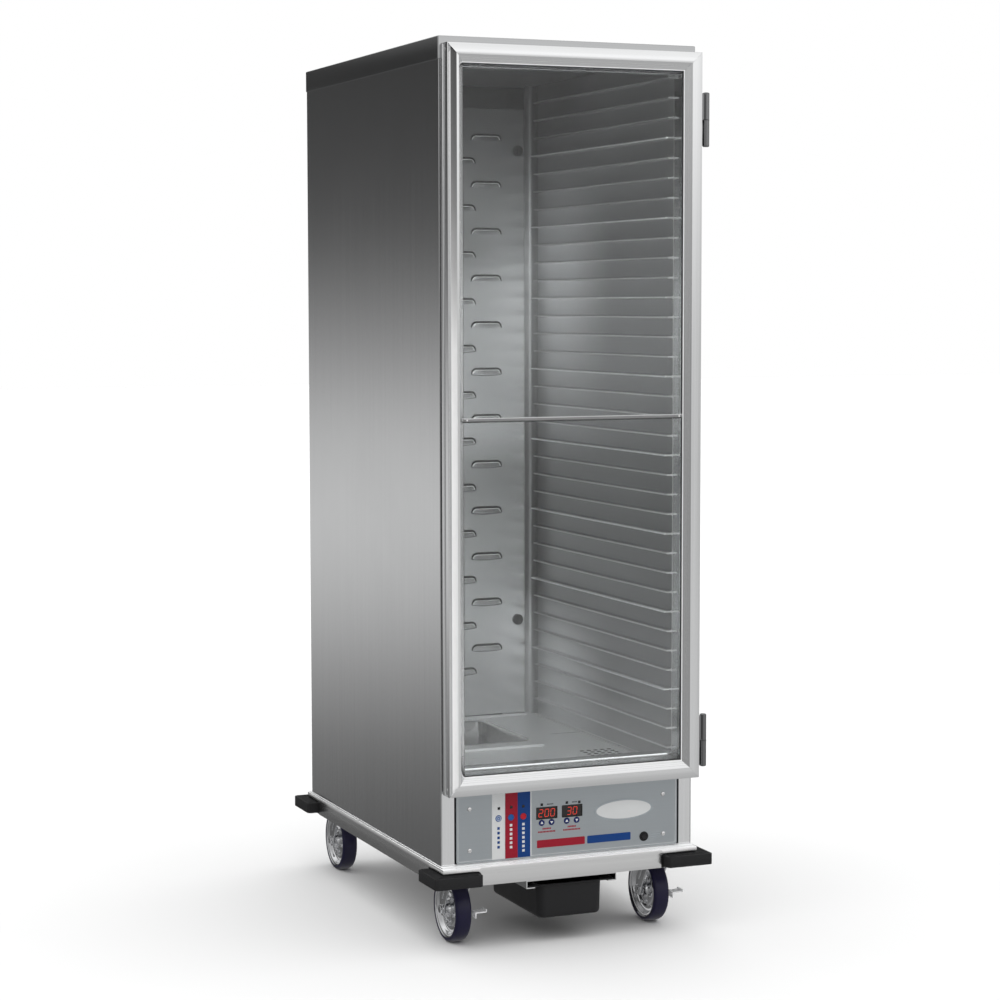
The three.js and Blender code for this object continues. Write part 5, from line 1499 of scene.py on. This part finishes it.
def supply_cord():
    cord = Piece().tube(smooth_path(CORD_PATH), 4.3, 16)
    for k in range(5):
        z = 199 + k * 3.2
        radius = 6.6 + k * 0.35
        cord.turn("z", [(4.6, z), (radius, z + 0.3), (radius, z + 1.9), (4.6, z + 2.2)],
                  2, 408.5, 20)
    # plug body: x0, x1, y0, y1, corner radius, z
    plug = ((-7, 11, 400, 413, 4, 212), (-11, 15, 394, 415, 6, 217),
            (-12, 16, 391.5, 416.5, 6, 224), (-12, 16, 391, 417, 6, 242),
            (-11, 15, 392, 416, 5, 245.5), (-10.2, 14.2, 392.8, 415.2, 4.5, 246))
    cord.loft([rounded_rect(x0, x1, y0, y1, r, 4, z) for x0, x1, y0, y1, r, z in plug])
    for k in range(4):
        for side in (-1, 1):
            x = 2 + side * 14.0
            cord.box(x - 0.7, x + 0.7, 396, 412, 225 + k * 4, 226.6 + k * 4, 0.4, 1)
    cord.make("supply_cord", "black_plastic", replaces="power_cord")
    pins = Piece()
    pins.box(-5.6, -4.0, 400, 406.5, 245.5, 264, 0.4)
    pins.box(8.0, 9.6, 400, 406.5, 245.5, 264, 0.4)
    pins.rod("z", 2.4, 245.5, 266, 2, 397, 20, 0.8)
    pins.make("plug_pins", "screw_steel", slot="zinc_plate")


supply_cord()

# ------------------------------------------------------------------ CAD pieces
# width of the rounded edges, in millimetres
CAD_BEVELS = {
    "hinge_lower_leaf_frame": 0.35, "hinge_lower_leaf_door": 0.35,
    "hinge_upper_leaf_frame": 0.35, "hinge_upper_leaf_door": 0.35,
    "side_panel_left": 0.5, "side_panel_right": 0.5, "back_panel": 0.3, "ceiling_panel": 0.4,
    "drip_pan_hanger": 0.5, "front_frame": 0.5, "control_faceplate": 0.5,
    "display_board": 0.25, "door_gasket": 0.8}
# CAD pieces whose material is not the one of their slot
CAD_MATERIALS = {
    "back_panel": "back_sheet", "ceiling_panel": "ceiling_sheet", "deck_panel": "deck_sheet",
    "air_duct_panel": "duct_sheet", "slide_rack_left": "rack_sheet",
    "slide_rack_right": "rack_sheet", "door_rail_top": "rail_extrusion",
    "door_rail_bottom": "rail_extrusion", "door_mid_bar": "mid_bar_skin",
    "front_frame": "bright_extrusion", "hinge_upper_leaf_frame": "hinge_steel",
    "hinge_upper_leaf_door": "hinge_steel", "hinge_lower_leaf_frame": "hinge_steel",
    "hinge_lower_leaf_door": "hinge_steel"}

for name in NODES:
    piece = NODES[name]
    piece.data.materials.clear()
    piece.data.materials.append(MATERIALS[CAD_MATERIALS.get(name, SLOT_OF[name])])
    if name in CAD_BEVELS:
        weld = piece.modifiers.new("weld", "WELD")
        weld.merge_threshold = 0.00002
        bevel = piece.modifiers.new("edge", "BEVEL")
        bevel.width = CAD_BEVELS[name] * MM
        bevel.segments = 2
        bevel.limit_method = "ANGLE"
        bevel.angle_limit = math.radians(35)
        bevel.use_clamp_overlap = False


# ------------------------------------------------------------------ camera and render settings
def add_camera(position, direction, roll, lens):
    data = bpy.data.cameras.new("camera")
    data.sensor_width = 36.0
    data.lens = lens
    data.clip_end = 100.0
    camera = place("camera", data)
    ahead = Vector(direction).normalized()
    right = ahead.cross(Vector((0, 0, 1))).normalized()
    up = right.cross(ahead).normalized()
    rolled_right = right * math.cos(roll) + up * math.sin(roll)
    rolled_up = up * math.cos(roll) - right * math.sin(roll)
    pose = Matrix((rolled_right, rolled_up, -ahead)).transposed().to_4x4()
    pose.translation = Vector(position)
    camera.matrix_world = pose
    scene.camera = camera


add_camera(position=(-1.897, -4.611, 1.218), direction=(0.3825, 0.9204, -0.0802),
           roll=math.radians(-0.093), lens=88.48)
scene.view_settings.view_transform = "Standard"
scene.view_settings.look = "None"
scene.view_settings.exposure = 0.0
scene.view_settings.gamma = 1.0
scene.cycles.use_denoising = True
scene.cycles.max_bounces = 10
scene.cycles.glossy_bounces = 8
scene.cycles.transparent_max_bounces = 12
scene.cycles.caustics_reflective = True
scene.cycles.sample_clamp_indirect = 4.0

# ------------------------------------------------------------------ studio world
# levels by elevation in degrees: met from the sides, from the front, and through the clear door
SIDE_LEVELS = [
    (-90, 0.45), (-45, 0.35), (-25, 0.16), (-14, 0.10), (-12, 0.13), (-10.4, 0.19),
    (-9.5, 0.27), (-8.5, 0.36), (-7.6, 0.47), (-6.7, 0.56), (-5.7, 0.63), (-4.8, 0.65),
    (-3.4, 0.59), (-2.5, 0.51), (-1.6, 0.39), (-0.6, 0.28), (0.3, 0.20), (1.2, 0.13),
    (2.1, 0.095), (3.5, 0.07), (6, 0.05), (10, 0.06), (18, 0.2), (35, 0.75), (60, 1.0), (90, 1.0)]
FRONT_LEVELS = [
    (-90, 0.45), (-45, 0.45), (-25, 0.52), (-15, 0.62), (-13, 0.58), (-11.5, 0.52), (-10, 0.66),
    (-8, 0.66), (-4, 0.54), (0, 0.60), (3, 0.85), (5.5, 1.05), (9, 1.15), (20, 1.0),
    (35, 0.95), (60, 1.0), (90, 1.0)]
DOOR_LEVELS = [
    (-90, 0.5), (-40, 0.6), (-14, 0.75), (-9.5, 0.80), (-8.2, 0.66), (-6.6, 0.42),
    (-4.6, 0.30), (-3.4, 0.46), (-2.4, 0.80), (-0.6, 0.86), (0.6, 0.70), (1.8, 0.42),
    (3.2, 0.22), (5, 0.12), (9, 0.08), (30, 0.3), (90, 0.5)]
# by bearing from the front in degrees, positive to the right
FRONT_BY_BEARING = [(-180, 0.8), (-135, 0.6), (-100, 0.55), (-60, 0.45), (-35, 0.48), (-10, 0.75),
                    (10, 1.0), (40, 1.0), (70, 0.8), (97, 0.70), (140, 0.75), (180, 0.8)]
SIDE_SHARE = [(-180, 1.0), (-130, 1.0), (-95, 0.35), (-70, 0.0), (0, 0.0), (100, 0.0),
              (150, 0.6), (180, 1.0)]
# diffuse light by (half the upward direction + 0.5)
DIFFUSE_LEVELS = [(0.0, 0.3), (0.5, 0.15), (0.62, 0.44), (0.75, 1.42), (1.0, 2.5)]
DOOR_GLOSSY_GAIN, DOOR_DIFFUSE_GAIN = 2.5, 5.0


def by_elevation(stops):
    return [(0.5 + 0.5 * math.sin(math.radians(angle)), level) for angle, level in stops]


def by_bearing(stops):
    return [((angle + 180) / 360, level) for angle, level in stops]


def build_world():
    world = bpy.data.worlds.new("studio")
    scene.world = world
    world.use_nodes = True
    world.cycles.sampling_method = "NONE"
    sh = Shader(world.node_tree)
    x, y, z = sh.split(sh.node("TexCoord").outputs["Generated"])
    height = sh.add(sh.multiply(z, 0.5), 0.5)
    side = sh.ramp(height, by_elevation(SIDE_LEVELS))
    front = sh.ramp(height, by_elevation(FRONT_LEVELS))
    turn = sh.math("ARCTAN2", x, sh.multiply(y, -1.0))
    bearing = sh.add(sh.math("DIVIDE", turn, 2 * math.pi), 0.5)
    level = sh.ramp(bearing, by_bearing(FRONT_BY_BEARING))
    side_share = sh.ramp(bearing, by_bearing(SIDE_SHARE))
    glossy = sh.mix(side_share, sh.mix(1.0, front, level, "MULTIPLY"), side)
    diffuse = sh.ramp(height, DIFFUSE_LEVELS)
    # rays that have passed the clear door meet their own levels
    rays = sh.node("LightPath").outputs
    behind = sh.above(rays["Transparent Depth"], 0.5)
    door = sh.ramp(height, by_elevation(DOOR_LEVELS))
    glossy = sh.mix(behind, glossy, sh.mix(1.0, door, (DOOR_GLOSSY_GAIN,) * 3, "MULTIPLY"))
    diffuse = sh.mix(behind, diffuse,
                     sh.mix(1.0, diffuse, (DOOR_DIFFUSE_GAIN,) * 3, "MULTIPLY"))
    glossy_light, diffuse_light, backdrop = (
        sh.node("Background", {"Color": colour, "Strength": 1.0})
        for colour in (glossy, diffuse, (1, 1, 1, 1)))
    light = sh.mix_shader(rays["Is Glossy Ray"], diffuse_light, glossy_light)
    seen = sh.mix_shader(rays["Is Camera Ray"], light, backdrop)
    sh.node("OutputWorld", {0: seen.outputs[0]})


def build_floor(half=30):
    data = bpy.data.meshes.new("floor")
    corners = [(-half, -half, 0), (half, -half, 0), (half, half, 0), (-half, half, 0)]
    data.from_pydata(corners, [], [(0, 1, 2, 3)])
    floor = place("floor", data)
    paint, sh = new_material("floor_paint")
    surface = sh.node("BsdfDiffuse", {"Color": (0.65, 0.65, 0.65, 1)})
    sh.node("OutputMaterial", {0: surface.outputs[0]})
    data.materials.append(paint)
    floor.visible_glossy = False


build_world()
build_floor()
